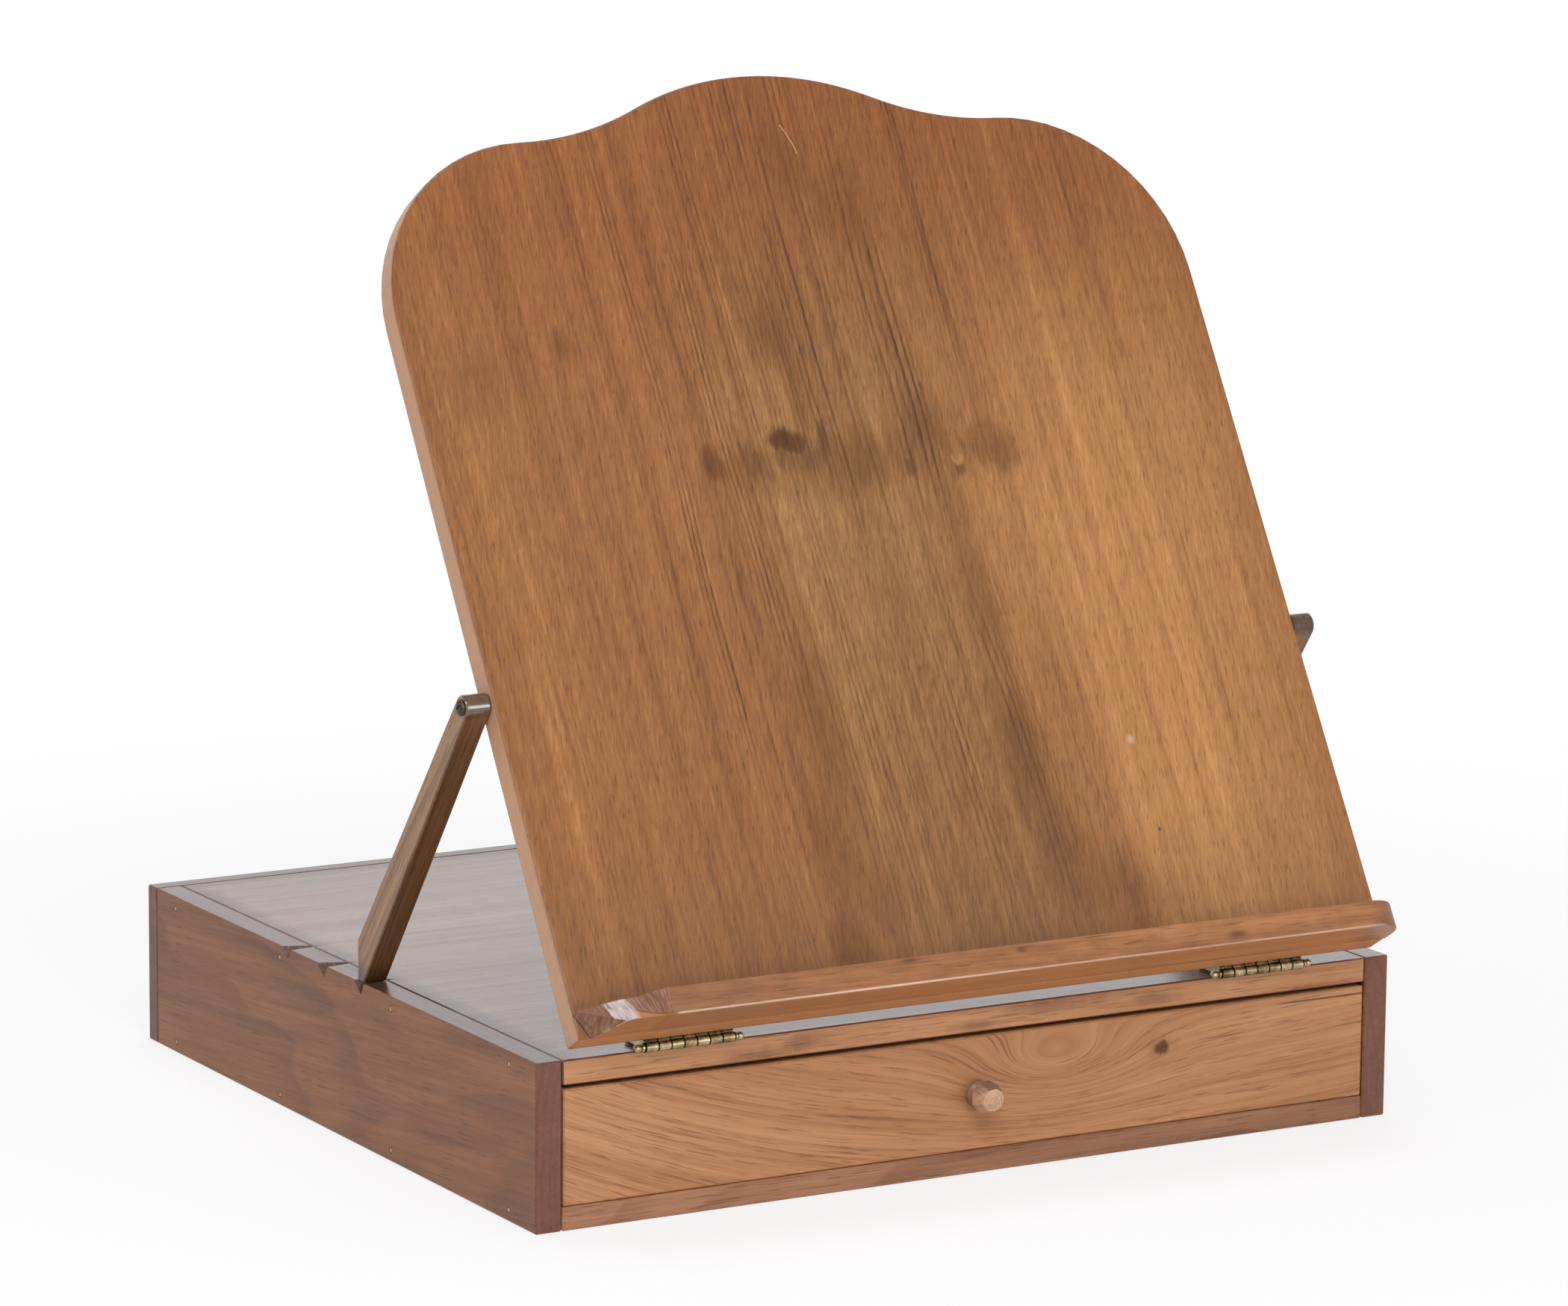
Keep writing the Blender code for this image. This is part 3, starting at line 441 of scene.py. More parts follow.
# Soft stains on the board, in the same order
BOARD_STAINS = (
    (0.0040, 0.2440, 0.072, 0.017, 0.40),
    (0.0411, 0.2548, 0.019, 0.018, 0.46),
    (-0.0450, 0.2430, 0.040, 0.014, 0.34),
    (-0.0250, 0.3056, 0.012, 0.024, 0.46),
    (-0.0180, 0.2960, 0.004, 0.044, 0.46),
    (0.0085, 0.3830, 0.014, 0.024, 0.30),
    (0.0270, 0.3620, 0.022, 0.028, 0.30),
    (-0.1240, 0.3030, 0.007, 0.010, 0.45),
    (-0.1700, 0.2890, 0.018, 0.024, 0.25),
    (-0.0500, 0.1240, 0.018, 0.066, 0.32),
    (-0.0590, 0.0670, 0.014, 0.036, 0.36),
    (-0.0640, 0.0290, 0.012, 0.022, 0.45),
    (-0.0420, 0.0475, 0.014, 0.020, 0.28),
    (0.0440, 0.1790, 0.014, 0.056, 0.30),
    (0.0430, 0.1000, 0.016, 0.050, 0.46),
    (0.0500, 0.0600, 0.017, 0.034, 0.46),
    (0.0660, 0.0430, 0.020, 0.020, 0.36),
    (0.0820, 0.0350, 0.018, 0.016, 0.32),
)
STAIN_SHARE = 0.9
# Where the board's face begins, out from the hinge line
BOARD_FACE = (0.005, 0.012)
# A pale curl of grain at the small spot on the right: centre and reach, its line, and its open upper end
CURL = ((0.0518, 0.2410), (0.0019, 0.0032))
CURL_LINE = (1.0, 0.2, 0.4)
CURL_OPEN = (0.2430, 0.2405)
CURL_PALE = srgb(196, 146, 92)
# Two small marks at the lower right, each a centre and a reach
PALE_SPOT = ((0.0990, 0.1050), (0.0022, 0.0026))
SPOT_PALE = srgb(206, 190, 170)
DARK_DOT = ((0.1010, 0.0635), (0.0010, 0.0012))
# The pale scratch below the crest: its right end, how far it bends left, and its span up the board
SCRATCH_RIGHT = 0.0139
SCRATCH_BEND = 0.0050
SCRATCH_CURVE = 1.6
SCRATCH_LOW = 0.3870
SCRATCH_RISE = 0.0148
SCRATCH_HALF = 0.0002
SCRATCH_ENDS = (0.5, 0.47, 0.02)
SCRATCH_PALE = srgb(214, 170, 128)


def board_stains(finish, timber, place, face, colour):
    """Soft stains and firm dark spots, both broken up by the strands of the wood."""
    soft = finish.blots(place, BOARD_STAINS, finish.torn(timber.stock, 1.4))
    soft = finish.times(soft, finish.swing(timber.strand, 2.6, 1.0))
    firm = finish.blots(place, BOARD_SPOTS, finish.torn(timber.stock, 1.6, 2.0), SPOT_CORE)
    firm = finish.times(firm, finish.swing(timber.strand, 1.2, 1.0))
    stain = finish.times(finish.most(soft, firm), face)
    return finish.mix(finish.math("MULTIPLY", stain, STAIN_SHARE, clamp=True), colour, STAIN)


def board_scratch(finish, place, face, colour):
    """A thin pale scratch that bends over to the left as it climbs."""
    x, up, _ = finish.split(place)
    along = finish.math("DIVIDE", finish.less(up, SCRATCH_LOW), SCRATCH_RISE, clamp=True)
    curve = finish.math("POWER", along, SCRATCH_CURVE)
    bend = finish.math("MULTIPLY_ADD", curve, -SCRATCH_BEND, SCRATCH_RIGHT)
    line = finish.band(finish.less(x, bend), 0.0, SCRATCH_HALF, SCRATCH_HALF)
    line = finish.times(line, finish.band(along, *SCRATCH_ENDS), face)
    return finish.over(colour, line, 0.5, SCRATCH_PALE)


def board_marks(finish, timber, place, colour):
    """Stains, spots and the scratch on the board's face."""
    _, up, out = finish.split(place)
    face = finish.fade(out, *BOARD_FACE)
    colour = board_stains(finish, timber, place, face, colour)
    curl = finish.band(finish.away(place, *CURL), *CURL_LINE)
    curl = finish.times(curl, finish.fade(up, *CURL_OPEN), face)
    colour = finish.over(colour, curl, 0.3, CURL_PALE)
    spot = finish.times(finish.blot(place, *PALE_SPOT), face)
    colour = finish.over(colour, spot, 0.5, SPOT_PALE)
    dot = finish.times(finish.blot(place, *DARK_DOT), face)
    colour = finish.over(colour, dot, 0.8, GRIME)
    return board_scratch(finish, place, face, colour)


# Zones of the board across its width, each a middle, a half width and a soft edge, and how far they wander
OLIVE_ZONE = (0.004, 0.018, 0.075)
OLIVE_SHARE = 0.8
GOLDEN_ZONE = (0.128, 0.010, 0.086)
ZONE_WANDER = 0.05
# Heights up the board from which the zones fade in downwards
OLIVE_HEIGHT = (0.40, 0.28)
GOLDEN_HEIGHT = (0.38, 0.22)
# Where the thin dark lines of the year rings show most, and their strength by height and elsewhere
LINED_ZONE = (-0.025, 0.06, 0.05)
LINED_HEIGHT = (0.04, 0.16)
LINED_STRENGTH = (0.12, 0.30)
LINED_ELSEWHERE = 0.16
# How the lines break off: cells per metre across and along, and the step in that noise
LINE_CELLS = (60.0, 7.0)
LINE_BREAK = (0.30, 0.60)
# How the top of the board is darkened, as a share of each of its colours, over which height
TOP_SHADE = (0.90, 0.80, 0.74)
TOP_HEIGHT = (0.25, 0.39)
TOP_WANDER = 0.1
# The dull foot of the board, over which height
FOOT_DULL = srgb(124, 92, 68)
FOOT_HEIGHT = (0.10, 0.0)
FOOT_WANDER = 0.06
# The board's edges and its underside, paler from its back to its front
EDGE_PALE = srgb(212, 168, 136)
UNDER_DEPTH = (0.002, 0.006)
UNDER_TONE = (0.2, 0.55)
BOARD_ARRIS = 0.0018


def board_edges(finish, timber, place, colour):
    """Pale edges, an underside like the ledge's and dirt on the arrises."""
    edge = finish.looks(BOARD_OUT, 0.6, 0.3, either=True)
    colour = finish.over(colour, edge, 0.6, EDGE_PALE)
    foot = finish.looks(-BOARD_UP, 0.6, 0.8)
    out = finish.split(place)[2]
    below = finish.swing(timber.fibre, 0.5, finish.fade(out, *UNDER_DEPTH, *UNDER_TONE))
    colour = finish.over(colour, foot, 0.9, finish.ramp(below, UNDERSIDE))
    return finish.over(colour, finish.arris(BOARD_ARRIS), 0.85, GRIME)


def board_wood():
    """Orange brown at the edges and top, olive in the middle and golden at the right, with dark stains."""
    finish = Finish("board_varnish")
    place = finish.local(PIN, BOARD_UP, BOARD_OUT)
    timber = Timber(finish, place, 3.0, heart=(-0.45, -0.1), lean=(-0.03, 0.03), cross=0.2, ring=0.0027)
    x, up, _ = finish.split(place)
    drift = finish.swing(timber.cloud, ZONE_WANDER, finish.swing(timber.streak, ZONE_WANDER, x))
    golden = finish.times(finish.band(drift, *GOLDEN_ZONE), finish.fade(up, *GOLDEN_HEIGHT))
    olive = finish.times(finish.band(drift, *OLIVE_ZONE), finish.fade(up, *OLIVE_HEIGHT), OLIVE_SHARE)
    broken = finish.fade(timber.drawn(*LINE_CELLS), *LINE_BREAK)
    strength = finish.fade(up, *LINED_HEIGHT, *LINED_STRENGTH)
    lined = finish.times(finish.band(drift, *LINED_ZONE), strength)
    rings = finish.times(broken, finish.add(lined, LINED_ELSEWHERE))
    tone = timber.tone(rings=rings, strands=0.6, fibres=0.8, base=0.56)
    colour = finish.mix(olive, finish.ramp(tone, ORANGE), finish.ramp(tone, OLIVE))
    colour = finish.mix(golden, colour, finish.ramp(tone, GOLDEN))
    high = finish.fade(finish.swing(timber.cloud, TOP_WANDER, up), *TOP_HEIGHT)
    colour = finish.mix(high, colour, TOP_SHADE, "MULTIPLY")
    low = finish.fade(finish.swing(timber.cloud, FOOT_WANDER, up), *FOOT_HEIGHT)
    colour = finish.over(colour, low, 0.3, FOOT_DULL)
    colour = board_marks(finish, timber, place, timber.pored(colour, 0.35))
    colour = board_edges(finish, timber, place, colour)
    return finish.done(colour, timber.gloss(0.42), timber.relief())


# The ledge's underside, up from the hinge line
LEDGE_FOOT = 0.0024
# Knots on the ledge, from the middle of the board: across, up, reach across, reach up and strength
LEDGE_KNOTS = (
    (0.0029, 0.0112, 0.0030, 0.0018, 0.6),
    (0.1092, 0.0064, 0.0060, 0.0018, 0.6),
    (-0.1808, 0.0106, 0.0050, 0.0016, 0.6),
    (-0.0505, 0.0125, 0.0060, 0.0012, 0.6),
)
LEDGE_KNOT = srgb(78, 46, 34)
# Uneven patches: cells per metre, the step in that noise, and the shades from dark to pale
MOTTLE_CELLS = (70.0, 160.0, 1.0)
MOTTLE_STEP = (0.32, 0.68)
MOTTLE_SHADE = (0.84, 1.05)
# The carved left end, in from the board's left edge and up from the underside: the hollow's centre and
# reach, where the carving begins and ends, and its scratches
HOLLOW = ((0.0355, 0.0085), (0.0193, 0.0083))
CARVED_BEGINS = (0.0155, 0.0175)
CARVED_ENDS = (0.035, 0.029)
CARVED_RAGGED = 0.008
CARVED_CELLS = (160.0, 900.0, 120.0)
RIM_DARK = srgb(88, 46, 32)
# The nose outside the carving, with a painted highlight: middle, half width and soft edge, then the
# highlight's colour
NOSE = (0.0140, 0.0030, 0.0022)
NOSE_HIGHLIGHT = srgb(206, 192, 194)
# The worn arris with a painted highlight along it: up from the underside, out from the hinge line, where it
# begins and where it dims
ARRIS_HIGH = (0.0009, 0.0003)
ARRIS_OUT = (0.0358, 0.0366)
ARRIS_BEGINS = (0.034, 0.037)
ARRIS_DIMS = (0.10, 0.26)
ARRIS_DIMMED = 0.45
ARRIS_HIGHLIGHT_AND_WEAR = srgb(240, 214, 188)
# The duller left part, across from the middle and in from the end, and the darker right end
LEFT_DULL = srgb(118, 88, 72)
LEFT_ACROSS = (-0.04, -0.17)
LEFT_INSET = (0.028, 0.04)
RIGHT_DARK = srgb(108, 66, 40)
RIGHT_INSET = (0.026, 0.008)


def ledge_end(finish, colour, carved, ellipse, below, dull):
    """The carved left end: a dull hollow, a dark rim where its ellipse is one, and plain wood beyond."""
    inside = finish.times(carved, finish.fade(ellipse, 1.04, 0.94))
    beyond = finish.times(carved, finish.fade(ellipse, 0.98, 1.06))
    under = finish.most(finish.looks(-BOARD_UP, 0.5, 0.8), beyond)
    colour = finish.over(colour, under, 0.9, below)
    slant = finish.looks(-ACROSS, 0.25, 0.5)
    colour = finish.over(colour, finish.most(inside, slant), 0.9, dull)
    rim = finish.times(carved, finish.band(ellipse, 1.0, 0.015, 0.05))
    return finish.over(colour, rim, 0.6, RIM_DARK)


def ledge_wood():
    """Grain along its length, an even underside, a worn front arris with a painted highlight, a painted
    highlight on the nose and a darker carved left end.
    """
    finish = Finish("ledge_varnish")
    place = finish.local(PIN, ACROSS, BOARD_OUT)
    timber = Timber(finish, place, 5.0, heart=(0.03, -0.05), lean=(0.02, 0.01), ring=0.004)
    down, x, out = finish.split(place)
    up = finish.times(down, -1.0)
    high = finish.less(up, LEDGE_FOOT)
    inset = finish.add(x, BOARD_HALF)
    tone = timber.tone(rings=0.2)
    colour = timber.pored(finish.ramp(tone, LEDGE))
    face = finish.join(x, up, 0.0)
    mottle = finish.fade(finish.noise(face, MOTTLE_CELLS, 3.0), *MOTTLE_STEP, *MOTTLE_SHADE)
    colour = finish.mix(1.0, colour, mottle, "MULTIPLY")
    knots = finish.blots(face, LEDGE_KNOTS, finish.torn(face, 0.6))
    colour = finish.mix(knots, colour, LEDGE_KNOT)
    scratches = finish.noise(place, CARVED_CELLS)
    ragged = finish.swing(scratches, CARVED_RAGGED, inset)
    carved = finish.times(finish.fade(ragged, *CARVED_ENDS), finish.fade(inset, *CARVED_BEGINS))
    ellipse = finish.away(finish.join(inset, high, 0.0), *HOLLOW)
    below = finish.ramp(tone, UNDERSIDE)
    colour = ledge_end(finish, colour, carved, ellipse, below, finish.ramp(scratches, CARVED))
    # A painted highlight on the rounded nose, which is also made glossier
    nose_highlight = finish.times(finish.band(ragged, *NOSE), finish.looks(-BOARD_UP, 0.5, 0.2))
    colour = finish.over(colour, nose_highlight, finish.swing(scratches, 0.9, 0.6), NOSE_HIGHLIGHT)
    # The worn front arris with a painted highlight, dimmed towards the right
    front = finish.times(finish.fade(high, *ARRIS_HIGH), finish.fade(out, *ARRIS_OUT))
    worn = finish.times(front, finish.fade(inset, *ARRIS_BEGINS))
    worn = finish.times(worn, finish.fade(inset, *ARRIS_DIMS, 1.0, ARRIS_DIMMED))
    colour = finish.over(colour, worn, finish.swing(timber.strand, 1.2, 0.7), ARRIS_HIGHLIGHT_AND_WEAR)
    left = finish.times(finish.fade(x, *LEFT_ACROSS), finish.fade(inset, *LEFT_INSET))
    colour = finish.over(colour, left, 0.3, LEFT_DULL)
    right = finish.fade(x, BOARD_HALF - RIGHT_INSET[0], BOARD_HALF - RIGHT_INSET[1])
    colour = finish.over(colour, right, 0.45, RIGHT_DARK)
    roughness = finish.math("MULTIPLY_ADD", nose_highlight, -0.2, timber.gloss(0.38))
    return finish.done(colour, roughness, timber.relief())


# The notches: down from the top, fore and aft from the middle, and the noise of their painted shade and torn
# wood
NOTCH_DOWN = (0.0056, 0.0050)
NOTCH_REACH = (0.178, 0.170)
NOTCH_CELLS = (900.0, 500.0, 500.0)
# The end grain of the case
CASE_END = srgb(92, 66, 68)


def notch_shade_and_raw_wood(finish, colour):
    """Painted shade and a little raw wood on the slanted walls of the notches in the top."""
    place = finish.rest()
    _, y, height = finish.split(place)
    wall = finish.looks(DEEP, 0.3, 0.6, either=True)
    cut = finish.times(wall, finish.fade(height, CASE_TOP - NOTCH_DOWN[0], CASE_TOP - NOTCH_DOWN[1]))
    cut = finish.times(cut, finish.fade(finish.math("ABSOLUTE", y), *NOTCH_REACH))
    # The slanted walls are painted dark as shade, with flecks of raw wood
    shade_and_raw = finish.ramp(finish.noise(place, NOTCH_CELLS), NOTCH_SHADE_AND_RAW)
    return finish.over(colour, cut, 0.9, shade_and_raw)


def case_wood(name, grain, normal, seed, lean=(0.0, 0.02)):
    """Reddish brown varnished wood of the case, darker on its end grain."""
    finish = Finish(name)
    timber = Timber(finish, finish.local(Vector(), grain, normal), seed, lean=lean)
    colour = timber.pored(finish.ramp(timber.tone(), CASE))
    end = finish.looks(grain, 0.55, 0.8, either=True)
    colour = finish.over(colour, end, 0.55, CASE_END)
    colour = notch_shade_and_raw_wood(finish, colour)
    colour = finish.over(colour, finish.arris(FINE_ARRIS), 0.3, GRIME)
    return finish.done(colour, timber.gloss(0.34), timber.relief())


# How far the duller margin of the top reaches in from the left and the back
MARGIN = (0.014, 0.025)
MARGIN_WANDER = 0.006
MARGIN_DARK = srgb(44, 36, 34)


def top_wood(name, seed, grain):
    """Dark and glossy, and duller round the back and left."""
    finish = Finish(name)
    timber = Timber(finish, finish.local(Vector(), grain, UP), seed)
    x, y, _ = finish.split(finish.rest())
    uneven = finish.swing(timber.cloud, MARGIN_WANDER)
    left = finish.fade(finish.add(x, uneven), -CASE_HALF + MARGIN[0], -CASE_HALF + MARGIN[1])
    back = finish.fade(finish.add(y, uneven), CASE_BACK - MARGIN[0], CASE_BACK - MARGIN[1])
    margin = finish.less(1.0, finish.times(left, back))
    colour = finish.ramp(timber.tone(streaks=0.85), TOP)
    colour = finish.over(colour, margin, 0.6, MARGIN_DARK)
    colour = notch_shade_and_raw_wood(finish, timber.pored(colour))
    worn = finish.math("MULTIPLY_ADD", margin, 0.1, timber.gloss(0.24, 0.12))
    shine = finish.swing(timber.strand, 0.2, finish.swing(timber.streak, 0.45, 0.68))
    return finish.done(colour, worn, timber.relief(), coat=shine)


# Dark smudges on the edge of the top above the drawer: across, height, reach across and reach up
RAIL_SMUDGES = (
    (-0.1046, 0.0640, 0.020, 0.004),
    (-0.0850, 0.0670, 0.012, 0.004),
    (0.0411, 0.0690, 0.030, 0.004),
    (0.0000, 0.0640, 0.016, 0.003),
    (0.0900, 0.0660, 0.014, 0.003),
)


def rail_wood(name, stops, seed, smudges, dark_side):
    """The pale edge of a panel above or below the drawer, with smudges and a darker right end."""
    finish = Finish(name)
    timber = Timber(finish, finish.local(Vector(), ACROSS, -DEEP), seed)
    x, _, z = finish.split(finish.rest())
    colour = timber.pored(finish.ramp(timber.tone(base=0.6), stops))
    face = finish.join(x, z, 0.0)
    ragged = finish.torn(face)
    for across, height, wide, tall in smudges:
        mark = finish.blot(face, (across, height), (wide, tall), ragged)
        colour = finish.over(colour, mark, 0.45, SMUDGE)
    shade = finish.fade(x, -CASE_HALF, CASE_HALF, 1.0, 1.0 - dark_side)
    colour = finish.mix(1.0, colour, shade, "MULTIPLY")
    return finish.done(colour, timber.gloss(0.36), timber.relief())


# The swirl of the drawer front's grain: its eye, and how the lines sweep up to each side
EYE = (0.040, 0.0425)
EYE_REACH = (0.045, 0.017)
EYE_LIFT = 0.024
SWEEP_LEFT = 0.92
SWEEP_RIGHT = 0.25
SWEEP_CHANGE = 0.03
# How far from the heart of its tree the eye lies
EYE_FROM_HEART = 0.3
# Its knot, with the reach of the halo and the core, and the core's edge
DRAWER_KNOT = (0.0930, 0.0441)
HALO_REACH = (0.011, 0.006)
HALO_DARK = srgb(112, 64, 44)
CORE_REACH = (0.0050, 0.0040)
CORE_EDGE = (0.15, 0.75)
CORE_DARK = srgb(62, 36, 30)
# The crack at the right: its height, half width and soft edge, and where it begins
CRACK = (0.0563, 0.0002, 0.0004)
CRACK_BEGINS = (0.146, 0.16)
CRACK_DARK = srgb(70, 40, 28)


def drawer_field(finish, x, z):
    """A field whose level lines are the grain: they sweep down from the left and round the eye."""
    across = finish.less(x, EYE[0])
    rise = finish.less(z, EYE[1])
    curve = finish.fade(across, -SWEEP_CHANGE, SWEEP_CHANGE, SWEEP_LEFT, SWEEP_RIGHT)
    field = finish.less(rise, finish.times(across, across, curve))
    eye = finish.away(finish.join(x, z, 0.0), EYE, EYE_REACH)
    lift = finish.math("EXPONENT", finish.times(eye, eye, -1.0))
    return finish.math("MULTIPLY_ADD", lift, EYE_LIFT, field)


def drawer_wood():
    """Grain that sweeps down from the left and round an eye, with one dark knot and a crack."""
    finish = Finish("drawer_varnish")
    x, y, z = finish.split(finish.rest())
    field = drawer_field(finish, x, z)
    years = finish.add(field, EYE_FROM_HEART)
    timber = Timber(finish, finish.join(field, x, y), 12.0, ring=0.0046, wander=0.003, field=years)
    tone = timber.tone(rings=0.18, streaks=0.7, strands=0.36)
    colour = timber.pored(finish.ramp(tone, FRONT))
    face = finish.join(x, z, 0.0)
    halo = finish.blot(face, DRAWER_KNOT, HALO_REACH, finish.torn(face))
    colour = finish.over(colour, halo, 0.45, HALO_DARK)
    core = finish.blot(face, DRAWER_KNOT, CORE_REACH, finish.torn(face, 1.0, 3.0))
    colour = finish.over(colour, finish.fade(core, *CORE_EDGE), 0.8, CORE_DARK)
    crack = finish.times(finish.band(z, *CRACK), finish.fade(x, *CRACK_BEGINS))
    colour = finish.over(colour, crack, 0.75, CRACK_DARK)
    colour = finish.over(colour, finish.arris(FINE_ARRIS), 0.35, GRIME)
    return finish.done(colour, timber.gloss(0.36), timber.relief())


def bare_wood(name, grain, normal, seed):
    """The unvarnished inside of the drawer."""
    finish = Finish(name)
    timber = Timber(finish, finish.local(Vector(), grain, normal), seed)
    colour = timber.pored(finish.ramp(timber.tone(), BARE))
    return finish.done(colour, timber.gloss(0.6), timber.relief())


# The knob from its tenon to its face: place along its axis, radius, and how far its sides are cut flat
KNOB_PROFILE = (
    (-0.0117, 0.0035, 0.0),
    (0.0003, 0.0035, 0.0),
    (0.0003, 0.0058, 0.0),
    (0.0026, 0.0055, 0.0),
    (0.0036, 0.0043, 0.0),
    (0.0056, 0.0043, 0.0),
    (0.0073, 0.0066, 0.4),
    (0.0079, 0.0071, 0.7),
    (0.0091, 0.0070, 1.0),
    (0.0139, 0.0053, 1.0),
    (0.0144, 0.0048, 0.8),
)
KNOB_CUTS = 9
KNOB_CUT_POINTS = 4
KNOB_DOME = 0.0003
# Edges of the knob sharper than this, in degrees, aren't smoothed
KNOB_CREASE = 25
# The middle of the tree that the knob was cut from, across and up from its axis
KNOB_HEART = (0.0008, -0.0012)
# How far out the neck and foot behind the head are darkened, as old varnish and painted shade
BEHIND_HEAD_OUT = (0.0085, 0.0070)
VARNISH_AND_SHADE_DARK = srgb(92, 60, 46)
KNOB_ARRIS = 0.0005
KNOB_EDGE = srgb(226, 200, 172)


def knob_ring(shape, centre, out, radius, flat):
    """One ring of points, round or with sides cut flat."""
    points = []
    cut = 2 * math.pi / KNOB_CUTS
    for step in range(KNOB_CUTS * KNOB_CUT_POINTS):
        turn = step * cut / KNOB_CUT_POINTS
        chord = math.cos(cut / 2) / math.cos(turn % cut - cut / 2)
        reach = radius * (1 + flat * (chord - 1))
        side = ACROSS * math.cos(turn) * reach + UP * math.sin(turn) * reach
        points.append(shape.verts.new(centre - DEEP * out + side))
    return points


def knob_mesh(centre):
    """A knob turned to a waist, with its head whittled to flat sides."""
    shape = bmesh.new()
    rings = [knob_ring(shape, centre, *row) for row in KNOB_PROFILE]
    for near, far in zip(rings, rings[1:]):
        for step in range(len(near)):
            shape.faces.new((near[step - 1], near[step], far[step], far[step - 1]))
    shape.faces.new(rings[0])
    face = shape.verts.new(centre - DEEP * (KNOB_PROFILE[-1][0] + KNOB_DOME))
    for step in range(len(rings[-1])):
        shape.faces.new((rings[-1][step - 1], rings[-1][step], face))
    bmesh.ops.recalc_face_normals(shape, faces=shape.faces)
    mesh = bpy.data.meshes.new("whittled_knob")
    shape.to_mesh(mesh)
    shape.free()
    mesh.shade_smooth()
    mesh.set_sharp_from_angle(angle=math.radians(KNOB_CREASE))
    return mesh


def knob_wood(centre):
    """Pale cut sides and face, with old dark varnish on its upper side, and old varnish with painted shade
    behind its head.
    """
    finish = Finish("knob_varnish")
    place = finish.local(centre, -DEEP, UP)
    timber = Timber(finish, place, 16.0, heart=KNOB_HEART, ring=0.0013, wander=0.0004)
    colour = timber.pored(finish.ramp(timber.tone(), KNOB))
    above = finish.fade(finish.swing(timber.strand, 0.8, finish.facing(UP)), 0.4, 0.8)
    side = finish.looks(-DEEP, 0.8, 0.6)
    # Behind the head: old varnish with painted shade under the head
    behind = finish.fade(finish.split(place)[1], *BEHIND_HEAD_OUT)
    dark = finish.most(finish.times(above, side, 0.7), finish.times(behind, 0.6))
    colour = finish.mix(dark, colour, VARNISH_AND_SHADE_DARK)
    colour = finish.over(colour, finish.arris(KNOB_ARRIS), 0.5, KNOB_EDGE)
    return finish.done(colour, timber.gloss(0.32), timber.relief())


def make_knob():
    """The whittled knob, in place of the solid one on the drawer front."""
    low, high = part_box("drawer_knob")
    centre = Vector(((low.x + high.x) / 2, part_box("drawer_front")[0].y, (low.z + high.z) / 2))
    knob = bpy.data.objects.new("whittled_knob", knob_mesh(centre))
    bpy.context.scene.collection.objects.link(knob)
    knob.data.materials.append(knob_wood(centre))
    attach(knob, "drawer")
    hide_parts("drawer_knob")


# Struts: the seed of each, how far its front face is darkened with painted shade, and how far its upper end
# is polished
STRUT_SEED = {"left": 17.0, "right": 18.0}
FRONT_SHADE_SHARE = {"left": 0.6, "right": 0.2}
POLISH = {"left": 0.9, "right": 0.2}
FRONT_SHADE = srgb(70, 44, 28)
# The polished band round the upper end, along the strut from its screw: middle, half width and soft edge
POLISHED = (-0.0022, 0.0014, 0.0016)
POLISH_IOR = 1.9
POLISH_ROUGHNESS = 0.12
# The dark ends, along the strut from its screw
DARK_TOP = (0.004, -0.003)
DARK_TOE = (0.150, 0.166)
END_DARK = srgb(48, 30, 22)


def strut_wood(side):
    """Grain along the strut, with painted shade on its front face and its ends dark."""
    finish = Finish(side + "_strut_varnish")
    pivot = Vector(JOINTS[side + "_prop_fold"]["pos_m"])
    low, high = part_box(side + "_strut")
    along = Vector((0.0, high.y - pivot.y, low.z - pivot.z)).normalized()
    place = finish.local(pivot, along, ACROSS)
    timber = Timber(finish, place, STRUT_SEED[side], ring=0.0024)
    colour = timber.pored(finish.ramp(timber.tone(), STRUT))
    # Painted shade on the front face, which looks down towards the case
    front = finish.looks(along.cross(ACROSS), 0.4, 0.7)
    colour = finish.over(colour, front, FRONT_SHADE_SHARE[side], FRONT_SHADE)
    reach = finish.split(place)[1]
    ends = finish.most(finish.fade(reach, *DARK_TOP), finish.fade(reach, *DARK_TOE))
    colour = finish.over(colour, ends, 0.75, END_DARK)
    roughness = finish.math("MULTIPLY_ADD", ends, -0.12, timber.gloss(0.28))
    polished = finish.math("MULTIPLY_ADD", finish.band(reach, *POLISHED), POLISH[side], 0.1)
    finish.shader.inputs["Coat IOR"].default_value = POLISH_IOR
    return finish.done(colour, roughness, timber.relief(), polished, POLISH_ROUGHNESS)


# Hinges: the knuckles' width, the barrel's reach from its pin and the dark line between two knuckles
KNUCKLE = 0.006
BARREL = 0.0034
KNUCKLE_LINE = 0.09
# Where the dirt off the barrel begins and is full, in barrels from the pin, and its strength
OFF_BARREL = (0.9, 1.3)
OFF_BARREL_DIRT = 0.4


